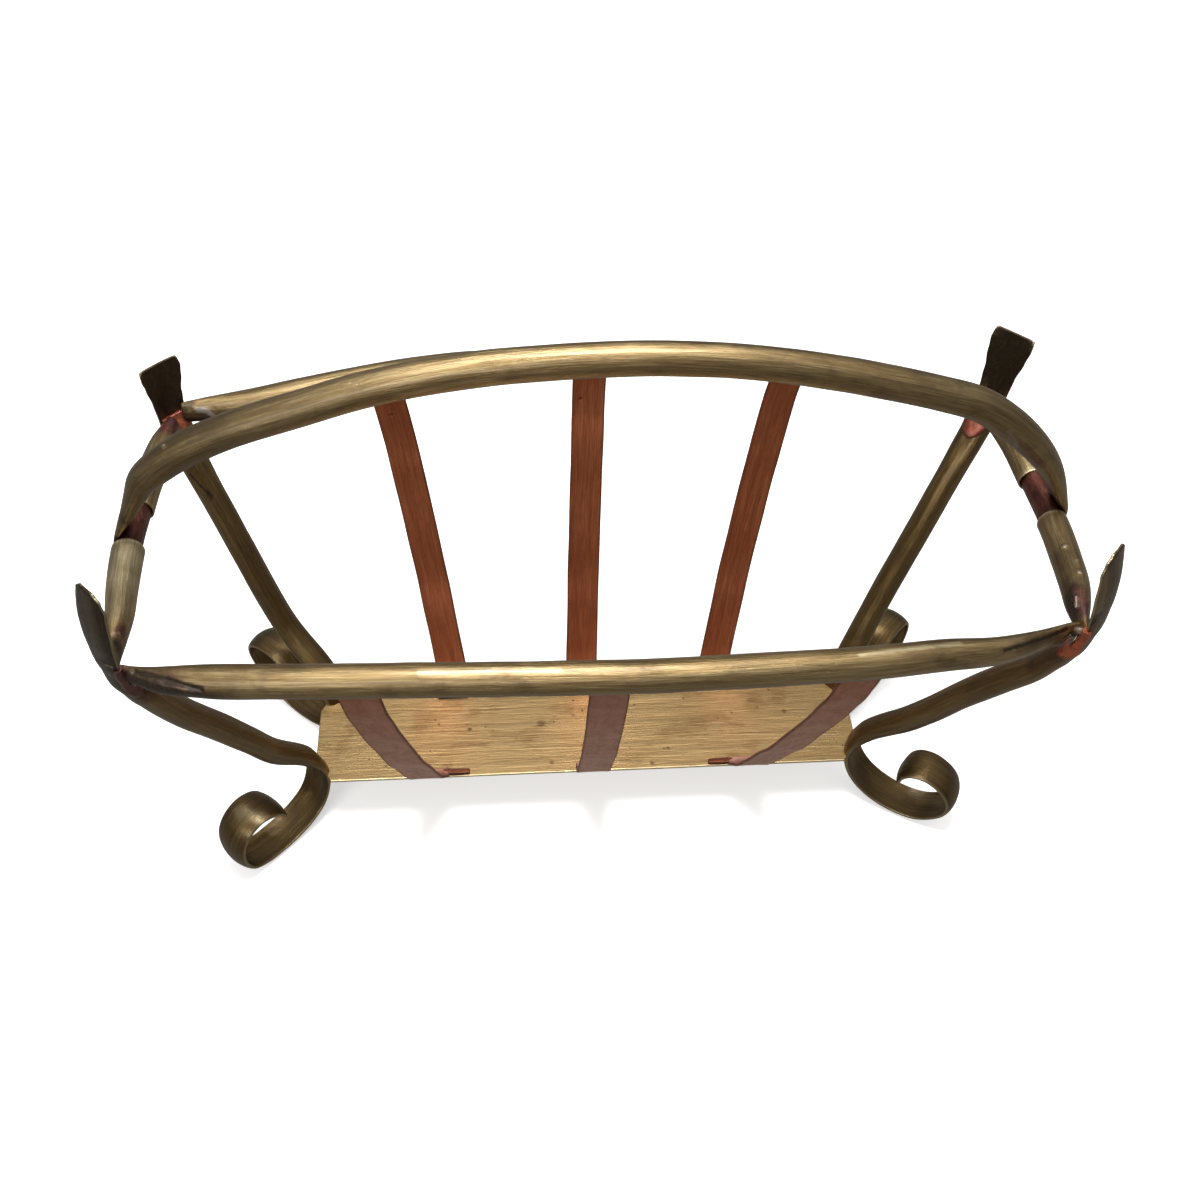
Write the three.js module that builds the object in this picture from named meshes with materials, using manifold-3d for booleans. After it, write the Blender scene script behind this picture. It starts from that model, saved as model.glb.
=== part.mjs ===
// Fireside log basket: brass sheet floor, four brass tube legs with scroll feet and
// spoon finials, a rim of brass tubes, an arched handle and six copper straps.
// Millimetres, +Z up. The origin is on the ground under the middle of the basket,
// +X to the right along the basket, -Y towards its front.
import * as THREE from 'three';
import { mergeVertices } from 'three/addons/utils/BufferGeometryUtils.js';
import Module from 'manifold-3d';

const wasm = await Module();
wasm.setup();
const { Manifold, Mesh: SolidMesh } = wasm;

// ---------------------------------------------------------------- dimensions
const GAP = 0.35;            // clearance left at every touching joint
const SIDES = 12;            // sides of a tube section

// floor sheet
const PLATE_HALF_X = 161.8;
const PLATE_HALF_Y = 35.1;
const PLATE_Z = 36.6;        // middle of the sheet
const PLATE_T = 1.6;
const CLIP_X = 9.4;          // clipped corner, along X
const CLIP_Y = 17.6;         // clipped corner, along Y

// legs: r outward from the middle of the clipped corner, z up.
// plan angles in degrees: foot plane, rim plane, finial face
const CLIP_MID = [157.3, 26.4];
const LEGS = {
  front_left: { sx: -1, sy: -1, foot: 45.2, shift: -4.9, rim: 42.7, face: 45, band0: 20.1, band1: 23.0, tip: 24.0, round: 0.45, belly: [23.6, 22.4, 19.6],
    run: [[90.8, 261.0], [95.4, 240], [95.8, 226], [94.4, 211], [90.0, 198], [83.5, 186], [77.8, 174], [68, 155], [54, 131], [39.1, 104], [26.2, 79]],
    scroll: [[7.0, 54.0], [0.6, 42.8], [-1.5, 33.5], [0.2, 23.1], [5.7, 13.2], [15.3, 6.4], [27.0, 2.8], [39.8, 1.6], [51.8, 2.6], [61.4, 7.0], [66.3, 15.6], [67.4, 25.5], [64.7, 35.4], [58.3, 42.5], [49.8, 45.6], [41.3, 43.7], [35.7, 39.5], [32.7, 34.6]] },
  front_right: { sx: 1, sy: -1, foot: 31.2, shift: -4.0, rim: 40.5, face: 45, band0: 21.9, band1: 21.3, tip: 24.0, round: 0.45, belly: [23.6, 22.4, 19.6],
    run: [[93.9, 264.6], [98.8, 243], [99.8, 228], [98.8, 213], [94.0, 200], [87.5, 188.5], [80.5, 174], [68.1, 155], [53.1, 131], [38.6, 104], [25.6, 79]],
    scroll: [[7.6, 56.1], [0.8, 44.8], [-1.4, 35.4], [0.5, 25.0], [6.8, 15.1], [15.7, 7.8], [26.3, 3.3], [38.0, 1.6], [49.2, 3.2], [58.8, 9.3], [65.5, 17.8], [67.0, 27.0], [63.5, 36.0], [56.1, 42.6], [46.9, 45.7], [38.3, 43.8], [33.5, 38.6], [31.8, 32.1]] },
  back_left: { sx: -1, sy: 1, foot: 41.9, shift: -4.9, rim: 44.7, face: 46, band0: 19.6, band1: 19.0, tip: 24.5, round: 0.93, belly: [22.3, 18.5, 17],
    run: [[99.4, 240.4], [100.2, 230], [100.2, 219], [99.1, 208.9], [95.8, 197], [91, 186], [84.5, 174], [73.5, 155], [59.9, 131], [46.5, 104], [34.0, 78]],
    scroll: [[8.8, 55.1], [-1.6, 42.7], [-5.7, 32.2], [-4.5, 21.1], [1.7, 11.2], [10.6, 4.9], [21.9, 2.0], [34.1, 2.1], [46.6, 5.9], [57.7, 13.6], [66.1, 23.6], [70.1, 33.4], [68.3, 42.5], [60.8, 48.4], [50.1, 50.4], [38.8, 47.4], [32.4, 42.0], [29.0, 36.0]] },
  back_right: { sx: 1, sy: 1, foot: 46.0, shift: 3.0, rim: 39.1, face: 47, band0: 20.1, band1: 20.3, tip: 24.5, round: 0.93, belly: [22.3, 18.5, 17],
    run: [[102.4, 252.6], [100.8, 240], [98.8, 228], [96.7, 215.9], [92.8, 204], [86.5, 190], [77.2, 174], [66.1, 155], [52.5, 131], [36.9, 104], [21, 78]],
    scroll: [[6.0, 56.1], [-2.0, 44.7], [-4.5, 35.2], [-2.6, 24.8], [4.5, 15.0], [14.5, 7.9], [25.7, 3.3], [37.9, 1.8], [49.6, 4.6], [59.8, 12.3], [67.3, 23.1], [70.4, 34.2], [68.6, 44.0], [61.5, 50.6], [50.8, 52.0], [39.9, 48.9], [33.0, 43.0], [29.5, 36.5]] },
};

// rails: centre x, y, z, half height (up-down), half width (in plan)
const FRONT_RAIL = [
  [-222.5, -91.5, 211.6, 3.2, 2.6], [-213, -94.6, 211.0, 4.6, 3.8], [-204, -97.0, 210.6, 6.2, 5.6], [-182, -100.2, 211.8, 7.9, 7.7], [-148, -105.0, 215.4, 8.0, 8.0],
  [-94.5, -110.2, 219.5, 8.0, 8.0], [-22, -114.5, 222.2, 7.9, 7.9], [25, -115.3, 222.4, 7.9, 7.9], [72.5, -113.3, 221.4, 7.9, 7.9],
  [99, -111.4, 220.0, 7.9, 7.9], [127, -108.5, 218.2, 7.9, 7.9], [157.4, -104.0, 215.9, 7.8, 7.4], [184.7, -99.9, 212.9, 7.1, 6.2],
  [206.7, -92.6, 210.9, 5.4, 4.2], [219.5, -87.4, 210.5, 4.0, 2.8], [224.0, -85.6, 210.4, 3.3, 2.4]];
const BACK_RAIL = [
  [-220.0, 96.6, 207.4, 6.6, 2.8], [-206.5, 97.8, 208.4, 7.6, 4.8], [-195.3, 98.4, 209.4, 7.8, 6.6], [-173, 99.9, 212.6, 8.1, 8],
  [-151.1, 102.6, 215.6, 8.1, 8.1], [-128.9, 105.7, 218.2, 8.1, 8.1], [-106.9, 109.5, 219.8, 8.1, 8.1], [-84.7, 112.5, 220.9, 8.1, 8.1],
  [-40, 115, 222.3, 8.1, 8.1], [-0.9, 116.1, 222.7, 8.1, 8.1], [54, 117.1, 221.1, 8.1, 8.1], [88.7, 116, 219.4, 8.1, 8.1],
  [129.9, 112, 216.6, 8.1, 8.1], [163.5, 106.1, 214, 8.1, 7.8], [189.2, 99.9, 211.8, 7.8, 6.8], [205.7, 94.9, 210.5, 7, 4.8],
  [221, 87, 209.8, 6, 2.6]];
const LEFT_RAIL = [
  [-224.6, -90.0, 209.6, 4.4, 1.8], [-226.4, -80.5, 208.8, 6.0, 3.4], [-227.8, -68, 207.9, 7.2, 5.4], [-228.6, -55.5, 207.2, 7.8, 6.6], [-230.9, -36.6, 206, 8.0, 7.6],
  [-232.8, -15, 205, 8.1, 8.1], [-233.5, 6.4, 204.5, 8.1, 8.1], [-232.9, 22.6, 205, 8.0, 7.9], [-231.3, 38, 206.5, 8.0, 7.6],
  [-229.5, 54.7, 206.9, 7.8, 7.4], [-227.7, 71.7, 207.2, 7.2, 6.2], [-224.6, 85.6, 207.2, 6.2, 3.6]];
const RIGHT_RAIL = [
  [228.6, -90.0, 210.8, 4.4, 1.8], [230.6, -80.5, 209.9, 6.0, 3.6], [232.8, -69, 209, 7.4, 6.0], [235.4, -57.8, 208, 7.8, 7.1], [238.2, -36, 206.3, 8.0, 7.6],
  [239.8, -16.2, 205.2, 8.0, 7.8], [240.2, 0, 204.6, 8.0, 7.8], [239.8, 15, 204.6, 8.0, 7.8], [238.8, 32, 205.6, 8.0, 7.8],
  [236.5, 52, 207.6, 7.8, 7.6], [232.4, 66, 208.8, 7.2, 6.4], [227.6, 76, 209.3, 6.2, 3.8]];
const COLLAR = {             // y range of each copper collar, its half sizes
  left: { y0: -7.4, y1: 20.2, up: 7.8, out: 6.4 },
  right: { y0: -6.5, y1: 24.6, up: 7.8, out: 6.0 },
};
const TUBE_WALL = 1.5;       // wall of the end rail tubes
const SOCKET = 22;           // depth of their open ends
const SPIGOT = 16;           // how far a collar reaches into them

// handle: centre x, z, half thickness in its own plane, half width across it (along Y)
const HANDLE_Y = 2;
const HANDLE = [
  [-240.2, 199.5, 1.0, 6.8], [-239.8, 206.0, 1.1, 8.2], [-235.6, 215.0, 2.2, 8.8], [-230.8, 222.6, 3.8, 8.7], [-225.4, 232.0, 5.4, 8.6],
  [-219.1, 242.7, 7.2, 8.6], [-207.6, 252.7, 8.4, 8.6], [-193.3, 262.2, 8.7, 8.6], [-175.0, 271.1, 8.7, 8.6], [-141.4, 283.0, 8.6, 8.6],
  [-101.5, 295.6, 8.5, 8.5], [-60.5, 303.6, 8.4, 8.4], [-9.8, 307.9, 8.3, 8.3], [42.0, 307.8, 8.2, 8.2], [84.0, 303.3, 8.2, 8.2],
  [134.1, 292.8, 8.5, 8.5], [165.7, 284.1, 8.5, 8.5], [186.8, 276.7, 8.6, 8.6], [203.1, 266.0, 8.6, 8.6], [220.9, 249.9, 7.7, 8.6],
  [234.9, 232.9, 5.8, 8.6], [243.0, 217.6, 3.5, 8.5], [246.6, 210.0, 1.8, 8.0], [247.6, 203.0, 0.9, 6.8]];

// straps: outward distance from the middle plane (y) and height (z)
const STRAP_T = 1.6;
const STRAP = [[97.3, 178], [93.5, 167], [89.5, 154], [81, 132], [76.5, 121], [66.5, 96], [59, 82], [48.5, 60], [42.5, 48.5], [38.4, 42.4]];
// side, x at z 206, x at z 50, width, top of the strap as y and z points
const STRAPS = {
  front_left: { side: -1, xt: -115.9, xb: -96.5, w: 19.6, top: [[100.4, 217.5], [100.6, 212], [100.6, 206], [99.7, 194]], foot: 'left' },
  front_centre: { side: -1, xt: 1.6, xb: 1.0, w: 19.4, top: [[105.6, 220], [105.4, 214.5], [104.4, 208], [101.6, 194]], foot: '' },
  front_right: { side: -1, xt: 122.5, xb: 95.5, w: 19.4, top: [[100.1, 216.5], [100.3, 211.5], [100.4, 206], [99.6, 194]], foot: 'right' },
  back_left: { side: 1, xt: -107.8, xb: -83.0, w: 18.6, top: [[101.2, 228], [101.4, 219], [101.6, 207], [100.3, 194]], foot: '' },
  back_centre: { side: 1, xt: 4.4, xb: -1.2, w: 19.0, top: [[109.4, 231], [109.4, 221], [108.0, 210], [104.0, 195]], foot: '' },
  back_right: { side: 1, xt: 115.2, xb: 83.5, w: 19.0, top: [[105.4, 227], [105.4, 217], [104.6, 206], [101.8, 193]], foot: '' },
};
const TOE = 11;              // reach of the drawn-out toes of the outer front straps
const NAIL_R = 1.3;          // old nail holes in two of the back straps
const NAILS = [['back_left', -108, 199], ['back_centre', -1, 205.5]];

// copper lugs and rivets at the corners
const LUG_W = 15.5;
const LUG_T = 1.2;
const LUG_LEN = 27;
const RIVET_R = 1.5;
const RIVET_HEAD = 2.9;

// ---------------------------------------------------------------- materials
const metal = (color, roughness) => new THREE.MeshStandardMaterial({ color, roughness, metalness: 1 });
const agedBrass = metal(0x8a7440, 0.38);
const darkBrass = metal(0x6b5530, 0.45);
const sheetBrass = metal(0xb99a5b, 0.4);
const copper = metal(0x7e3f26, 0.45);
const darkCopper = metal(0x5c2a1e, 0.55);
const steel = metal(0x77746a, 0.4);

// ---------------------------------------------------------------- small maths
const V = (x, y, z) => new THREE.Vector3(x, y, z);
const smooth = (t) => { const c = Math.min(1, Math.max(0, t)); return c * c * (3 - 2 * c); };
const rad = Math.PI / 180;

// Curve through rows of numbers whose first three are x, y, z, evenly spaced by chord length.
function curve(rows, n) {
  const m = rows.length;
  const s = [0];
  for (let i = 1; i < m; i++) s.push(s[i - 1] + Math.hypot(rows[i][0] - rows[i - 1][0], rows[i][1] - rows[i - 1][1], rows[i][2] - rows[i - 1][2]));
  const slope = rows.map((row, i) => row.map((_, c) => {
    if (i === 0) return (rows[1][c] - rows[0][c]) / (s[1] - s[0]);
    if (i === m - 1) return (rows[i][c] - rows[i - 1][c]) / (s[i] - s[i - 1]);
    const a = (rows[i][c] - rows[i - 1][c]) / (s[i] - s[i - 1]);
    const b = (rows[i + 1][c] - rows[i][c]) / (s[i + 1] - s[i]);
    const w = (s[i + 1] - s[i]) / (s[i + 1] - s[i - 1]);
    return a * w + b * (1 - w);
  }));
  const total = s[m - 1];
  const out = [];
  for (let j = 0; j < n; j++) {
    const t = total * j / (n - 1);
    let i = 0;
    while (i < m - 2 && s[i + 1] < t) i++;
    const h = s[i + 1] - s[i], u = (t - s[i]) / h;
    const a = 2 * u ** 3 - 3 * u ** 2 + 1, b = u ** 3 - 2 * u ** 2 + u, c = -2 * u ** 3 + 3 * u ** 2, d = u ** 3 - u ** 2;
    out.push(rows[i].map((_, k) => a * rows[i][k] + b * h * slope[i][k] + c * rows[i + 1][k] + d * h * slope[i + 1][k]));
  }
  return { rows: out, u: out.map((_, j) => j / (n - 1)), knots: s.map((x) => x / total), length: total };
}

function keyed(keys, u) {
  let i = 0;
  while (i < keys.length - 2 && keys[i + 1][0] < u) i++;
  const t = smooth((u - keys[i][0]) / (keys[i + 1][0] - keys[i][0]));
  return keys[i].slice(1).map((v, c) => v + (keys[i + 1][c + 1] - v) * t);
}

// Section in (width, normal) coordinates: half height h, both edges lifted by dish, flat 0 round to 1 slab.
function ring(w, h, dish = 0, flat = 0, sides = SIDES) {
  const out = [];
  for (let i = 0; i < sides; i++) {
    const a = 2 * Math.PI * i / sides, c = Math.cos(a), s = Math.sin(a);
    const u = Math.sign(c) * Math.abs(c) ** (1 - 0.35 * flat);
    const v = Math.abs(s) < 1e-9 ? 0 : Math.sign(s) * Math.abs(s) ** (1 - 0.75 * flat);
    out.push([u * w / 2, h * v + dish * u * u]);
  }
  return out;
}

// Frames along sampled centres: tangent T, width W, normal N = T x W (times hand).
function frames(centres, widths, hand = 1) {
  const n = centres.length;
  return centres.map((c, i) => {
    const T = centres[Math.min(n - 1, i + 1)].clone().sub(centres[Math.max(0, i - 1)]).normalize();
    const W = widths[i].clone().addScaledVector(T, -widths[i].dot(T)).normalize();
    const N = T.clone().cross(W).multiplyScalar(hand);
    return { c, T, W, N };
  });
}

// Stations picked so that neither the turn nor the step between two of them is large.
function stations(fr, turn, step) {
  const pick = [0];
  let cost = 0;
  for (let i = 1; i < fr.length; i++) {
    const ang = fr[i].T.angleTo(fr[i - 1].T) / rad;
    cost += ang / turn + fr[i].c.distanceTo(fr[i - 1].c) / step;
    if (cost >= 1) { pick.push(i); cost = 0; }
  }
  if (fr.length - 1 - pick[pick.length - 1] < (pick[pick.length - 1] - pick[pick.length - 2]) * 0.5) pick.pop();
  pick.push(fr.length - 1);
  return pick;
}

// Closed skin over a list of { frame, ring } with flat ladder caps at both ends.
function skin(list, hand = 1) {
  const ns = list[0].ring.length;
  const pos = [];
  for (const { frame, ring: r } of list) {
    for (const [u, v] of r) {
      const p = frame.c.clone().addScaledVector(frame.W, u).addScaledVector(frame.N, v);
      pos.push(p.x, p.y, p.z);
    }
  }
  const tri = [];
  const quad = (a, b, c, d) => tri.push([a, b, c], [a, c, d]);
  for (let i = 0; i < list.length - 1; i++) {
    for (let j = 0; j < ns; j++) {
      const k = (j + 1) % ns;
      quad(i * ns + j, (i + 1) * ns + j, (i + 1) * ns + k, i * ns + k);
    }
  }
  const ladder = (o, flip) => {
    const half = ns / 2;
    const add = (a, b, c) => tri.push(flip ? [o + a, o + c, o + b] : [o + a, o + b, o + c]);
    add(0, 1, ns - 1);
    for (let j = 1; j < half - 1; j++) { add(j, j + 1, ns - j - 1); add(j, ns - j - 1, ns - j); }
    add(half - 1, half, half + 1);
  };
  ladder(0, false);
  ladder((list.length - 1) * ns, true);
  const flipAll = hand < 0;
  const index = new Uint32Array(tri.flatMap(([a, b, c]) => (flipAll ? [a, c, b] : [a, b, c])));
  return solid(new Float32Array(pos), index);
}

function solid(vertProperties, triVerts) {
  const m = new Manifold(new SolidMesh({ numProp: 3, vertProperties, triVerts }));
  return m.volume() < 0 ? new Manifold(new SolidMesh({ numProp: 3, vertProperties, triVerts: triVerts.map((_, i, a) => a[i % 3 === 1 ? i + 1 : i % 3 === 2 ? i - 1 : i]) })) : m;
}

function fromGeometry(geometry) {
  const g = geometry.clone();
  g.deleteAttribute('normal');
  g.deleteAttribute('uv');
  const m = mergeVertices(g, 1e-4);
  return solid(new Float32Array(m.attributes.position.array), new Uint32Array(m.index.array));
}

// The largest piece that is left when the cutters are taken away.
function cut(body, cutters) {
  let out = body;
  for (const c of cutters) out = out.subtract(c);
  const parts = out.decompose();
  return parts.reduce((a, b) => (Math.abs(b.volume()) > Math.abs(a.volume()) ? b : a));
}

// ---------------------------------------------------------------- legs
function legFrames(name) {
  const L = LEGS[name];
  const out = (deg) => V(L.sx * Math.cos(deg * rad), L.sy * Math.sin(deg * rad), 0);
  const wide = (o) => { const w = V(-o.y, o.x, 0); return w.y < 0 ? w : w.negate(); };
  const oT = out(L.rim), oB = out(L.foot), wB = wide(oB), wT = wide(oT), wF = wide(out(L.face));
  const O = V(L.sx * CLIP_MID[0], L.sy * CLIP_MID[1], 0);
  const OB = O.clone().addScaledVector(wB, L.shift);
  const rows = [];
  for (const [r, z] of L.run) {
    const t = smooth((z - 60) / 60);
    const p = O.clone().addScaledVector(oT, r).multiplyScalar(t).add(OB.clone().addScaledVector(oB, r).multiplyScalar(1 - t));
    const f = smooth((z - 180) / 30);
    const w = wB.clone().multiplyScalar(1 - t).addScaledVector(wT, t).multiplyScalar(1 - f).addScaledVector(wF, f).normalize();
    rows.push([p.x, p.y, z, w.x, w.y, w.z]);
  }
  for (const [r, z] of L.scroll) {
    const p = OB.clone().addScaledVector(oB, r);
    rows.push([p.x, p.y, z, wB.x, wB.y, wB.z]);
  }
  const cv = curve(rows, 420);
  const hand = L.sx;                       // makes N point to the inside of the basket
  const fr = frames(cv.rows.map((r) => V(r[0], r[1], r[2])), cv.rows.map((r) => V(r[3], r[4], r[5])), hand);
  const k = cv.knots, n = L.run.length, mid = (L.band0 + L.band1) / 2;
  const keys = [
    [0, L.tip * L.round, 0.9, 0.5, 0.9], [k[1] * 0.14, L.tip * (0.5 + 0.5 * L.round), 0.9, 1.3, 0.9], [k[1] * 0.42, L.tip * (0.84 + 0.16 * L.round), 0.9, 2.4, 0.9],
    [k[1], L.belly[0], 1.0, 3.0, 0.9], [k[2], L.belly[1], 1.2, 2.5, 0.8], [k[3], L.belly[2], 1.8, 1.6, 0.6],
    [k[4], 17.5, 4.4, 0.4, 0.3], [k[5], 16.4, 6.4, 0, 0.1], [k[7], 15, 7.5, 0, 0], [k[n - 1], 15.2, 7.2, 0, 0],
    [k[n], 16.4, 5.6, -0.4, 0.1], [k[n + 1], L.band0 * 0.95, 3.2, -1.4, 0.4], [k[n + 3], L.band0, 1.7, -2.4, 0.8],
    [k[n + 9], mid, 1.4, -2.2, 0.9], [1, L.band1 + 1.5, 1.1, -1.8, 0.9]];
  return { fr, u: cv.u, keys, hand, knots: k };
}

// lowers or lifts the foot of a leg so that it stands exactly on the ground
function levelled(name) {
  const leg = legFrames(name);
  for (let pass = 0; pass < 3; pass++) {
    let low = Infinity;
    leg.fr.forEach((f, i) => {
      const [w, h, dish, flat] = keyed(leg.keys, leg.u[i]);
      for (const [a, b] of ring(w, h, dish, flat)) low = Math.min(low, f.c.z + f.W.z * a + f.N.z * b);
    });
    leg.fr.forEach((f) => { f.c.z -= low * (1 - smooth(f.c.z / 120)); });
  }
  return leg;
}

function legSolid(leg, extra) {
  const tip = [0.14, 0.42].map((q) => Math.round(q * leg.knots[1] * (leg.fr.length - 1)));
  const pick = [...new Set([...stations(leg.fr, 17, 34), ...tip])].sort((a, b) => a - b);
  const list = pick.map((i) => {
    const [w, h, dish, flat] = keyed(leg.keys, leg.u[i]);
    return { frame: { ...leg.fr[i], c: leg.fr[i].c.clone() }, ring: ring(w + 2 * extra, h + extra, dish, flat) };
  });
  list[0].frame.c.addScaledVector(list[0].frame.T, -extra);
  list[list.length - 1].frame.c.addScaledVector(list[list.length - 1].frame.T, extra);
  return skin(list, leg.hand);
}

const legs = {}, fatLegs = {};
const legData = {};
for (const name of Object.keys(LEGS)) {
  legData[name] = levelled(name);
  legs[name] = legSolid(legData[name], 0);
  fatLegs[name] = legSolid(legData[name], GAP + 0.1);
}

// exact ground contact of every foot
const lowest = Math.min(...Object.values(legs).map((l) => l.boundingBox().min[2]));
for (const name of Object.keys(legs)) legs[name] = legs[name].translate([0, 0, -legs[name].boundingBox().min[2]]);

// ---------------------------------------------------------------- lugs and rivets
const LUG_START = { front_left: -7, front_right: -8, back_left: 1, back_right: 1 };   // first frame, from the base of the finial
const LUG_ARC = { front_left: [-38, 84], front_right: [-38, 90], back_left: [35, 145], back_right: [35, 145] };
// point of a leg section at an angle, moved outward by off
function onSection(w, h, dish, flat, deg, off) {
  const c = Math.cos(deg * rad), q = Math.sin(deg * rad);
  const u = Math.sign(c) * Math.abs(c) ** (1 - 0.35 * flat), v = Math.sign(q) * Math.abs(q) ** (1 - 0.75 * flat);
  const nu = c / (w / 2), nv = q / h, l = Math.hypot(nu, nv);
  return [u * w / 2 + nu / l * off, h * v + dish * u * u + nv / l * off];
}

// a strip that follows part of the leg's section, from one angle of the section to another
function lugSolid(name, extra) {
  const leg = legData[name];
  const n = leg.fr.length;
  const start = Math.round(leg.knots[3] * (n - 1)) + LUG_START[name];
  let length = 0, end = start;
  while (length < LUG_LEN) { length += leg.fr[end + 1].c.distanceTo(leg.fr[end].c); end++; }
  const list = [];
  const steps = 7, cols = 6;
  for (let i = 0; i <= steps; i++) {
    const t = i / steps;
    const k = Math.round(start + (end - start) * t);
    const [w, h, dish, flat] = keyed(leg.keys, leg.u[k]);
    const f = leg.fr[k];
    const round = Math.sqrt(Math.max(0.1, 1 - Math.max(0, (t - 0.6) / 0.4) ** 2));
    const mid = (LUG_ARC[name][0] + LUG_ARC[name][1]) / 2, half = (LUG_ARC[name][1] - LUG_ARC[name][0]) / 2 * round + extra * 4;
    const at = (deg, off) => onSection(w, h, dish, flat, deg, off);
    const angles = Array.from({ length: cols }, (_, j) => mid - half + 2 * half * j / (cols - 1));
    const near = GAP + 0.15 - extra, far = GAP + 0.15 + LUG_T + extra;
    list.push({ frame: { ...f, c: f.c.clone() }, ring: [...angles.map((a) => at(a, far)), ...angles.slice().reverse().map((a) => at(a, near))] });
  }
  list[0].frame.c.addScaledVector(list[0].frame.T, -extra);
  list[steps].frame.c.addScaledVector(list[steps].frame.T, extra);
  return skin(list, leg.hand);
}

function along(body, origin, axis) {
  const q = new THREE.Quaternion().setFromUnitVectors(V(0, 0, 1), axis);
  const m = new THREE.Matrix4().compose(origin, q, V(1, 1, 1));
  return body.transform(m.elements);
}

function pin(radius, z0, z1, sides = 10) {
  return fromGeometry(new THREE.LatheGeometry([new THREE.Vector2(0, z0), new THREE.Vector2(radius, z0), new THREE.Vector2(radius, z1), new THREE.Vector2(0, z1)], sides)
    .rotateX(Math.PI / 2));
}

const lugs = {}, fatLugs = {}, rivets = {};
for (const name of Object.keys(LEGS)) {
  const leg = legData[name];
  const at = Math.round(leg.knots[3] * (leg.fr.length - 1)) + LUG_START[name] + 14;
  const f = leg.fr[at];
  const [, h] = keyed(leg.keys, leg.u[at]);
  const deg = (LUG_ARC[name][0] + LUG_ARC[name][1]) / 2 + (name === 'front_right' ? 16 : 0);
  const [w, , dish, flat] = keyed(leg.keys, leg.u[at]);
  const [c, q] = onSection(w, h, dish, flat, deg, 0), [c1, q1] = onSection(w, h, dish, flat, deg - 3, 0), [c2, q2] = onSection(w, h, dish, flat, deg + 3, 0);
  const out = f.W.clone().multiplyScalar(q2 - q1).addScaledVector(f.N, c1 - c2).normalize();
  const o = f.c.clone().addScaledVector(f.W, c).addScaledVector(f.N, q);
  const top = GAP + LUG_T + 1.05;            // seat of the head, above the lug
  const low = -4.5;                          // bottom of the shank, inside the leg
  const P = (r, z) => new THREE.Vector2(r, z);
  const profile = [P(0, low), P(RIVET_R, low), P(RIVET_R, top), P(RIVET_HEAD, top), P(2.2, top + 0.9), P(1.1, top + 1.3), P(0, top + 1.35)];
  rivets[name] = along(fromGeometry(new THREE.LatheGeometry(profile, 10).rotateX(Math.PI / 2)), o, out);
  const hole = along(pin(RIVET_R + GAP + 0.15, low - GAP - 0.1, top + 3), o, out);
  lugs[name] = cut(lugSolid(name, 0), [fatLegs[name], hole]);
  fatLugs[name] = lugSolid(name, GAP + 0.35).add(along(pin(RIVET_HEAD + GAP, top - 0.4, top + 1.8), o, out));
  legs[name] = cut(legs[name], [hole]);
}

// ---------------------------------------------------------------- rails
function railFrames(rows, n = 240) {
  const cv = curve(rows, n);
  return { fr: frames(cv.rows.map((r) => V(r[0], r[1], r[2])), cv.rows.map(() => V(0, 0, 1))), size: cv.rows.map((r) => [r[3], r[4]]) };
}

function railSolid(rail, pick, extra = 0) {
  const list = pick.map((i) => ({ frame: { ...rail.fr[i], c: rail.fr[i].c.clone() }, ring: ring(2 * (rail.size[i][0] + extra), rail.size[i][1] + extra) }));
  list[0].frame.c.addScaledVector(list[0].frame.T, -extra);
  list[list.length - 1].frame.c.addScaledVector(list[list.length - 1].frame.T, extra);
  return skin(list);
}

const front = railFrames(FRONT_RAIL), back = railFrames(BACK_RAIL);
const left = railFrames(LEFT_RAIL, 200), right = railFrames(RIGHT_RAIL, 200);
const cutters = (...names) => names.flatMap((n) => [fatLegs[n], fatLugs[n]]);
const frontRail = cut(railSolid(front, stations(front.fr, 9, 30)), cutters('front_left', 'front_right'));
const backRail = cut(railSolid(back, stations(back.fr, 9, 30)), cutters('back_left', 'back_right'));
const fatFront = railSolid(front, stations(front.fr, 9, 30), GAP);
const fatBack = railSolid(back, stations(back.fr, 9, 30), GAP);

// index of the frame whose centre has the given y
const atY = (rail, y) => rail.fr.reduce((b, f, i) => (Math.abs(f.c.y - y) < Math.abs(rail.fr[b].c.y - y) ? i : b), 0);
const backOff = (rail, i, dist, dir) => { let k = i, d = 0; while (d < dist) { d += rail.fr[k + dir].c.distanceTo(rail.fr[k].c); k += dir; } return k; };
const spread = (a, b, n) => Array.from({ length: n + 1 }, (_, i) => Math.round(a + (b - a) * i / n));

// Half of an end rail: closed at the corner, open towards the collar.
function endHalf(rail, from, to) {
  const dir = Math.sign(to - from);
  const bottom = backOff(rail, to, SOCKET, -dir);
  const steps = dir > 0 ? spread(from, to, 6) : spread(from, to, 6);
  const item = (i, less) => ({ frame: rail.fr[i], ring: ring(2 * (rail.size[i][0] - less), rail.size[i][1] - less) });
  const list = [...steps.map((i) => item(i, 0)), ...spread(to, bottom, 2).map((i) => item(i, TUBE_WALL))];
  return skin(list, dir);
}

// Collar with a spigot at each end that enters the two halves.
function collarSolid(rail, i0, i1, spec, extra = 0) {
  const s0 = backOff(rail, i0, SPIGOT, -1), s1 = backOff(rail, i1, SPIGOT, 1);
  const small = (i) => ({ frame: rail.fr[i], ring: ring(2 * (rail.size[i][0] - TUBE_WALL - GAP), rail.size[i][1] - TUBE_WALL - GAP) });
  const body = (i) => ({ frame: rail.fr[i], ring: ring(2 * (spec.up + extra), spec.out + extra) });
  if (extra) return skin(spread(i0, i1, 3).map(body));
  return skin([...spread(s0, i0, 1).map(small), ...spread(i0, i1, 3).map(body), ...spread(i1, s1, 1).map(small)]);
}

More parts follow.
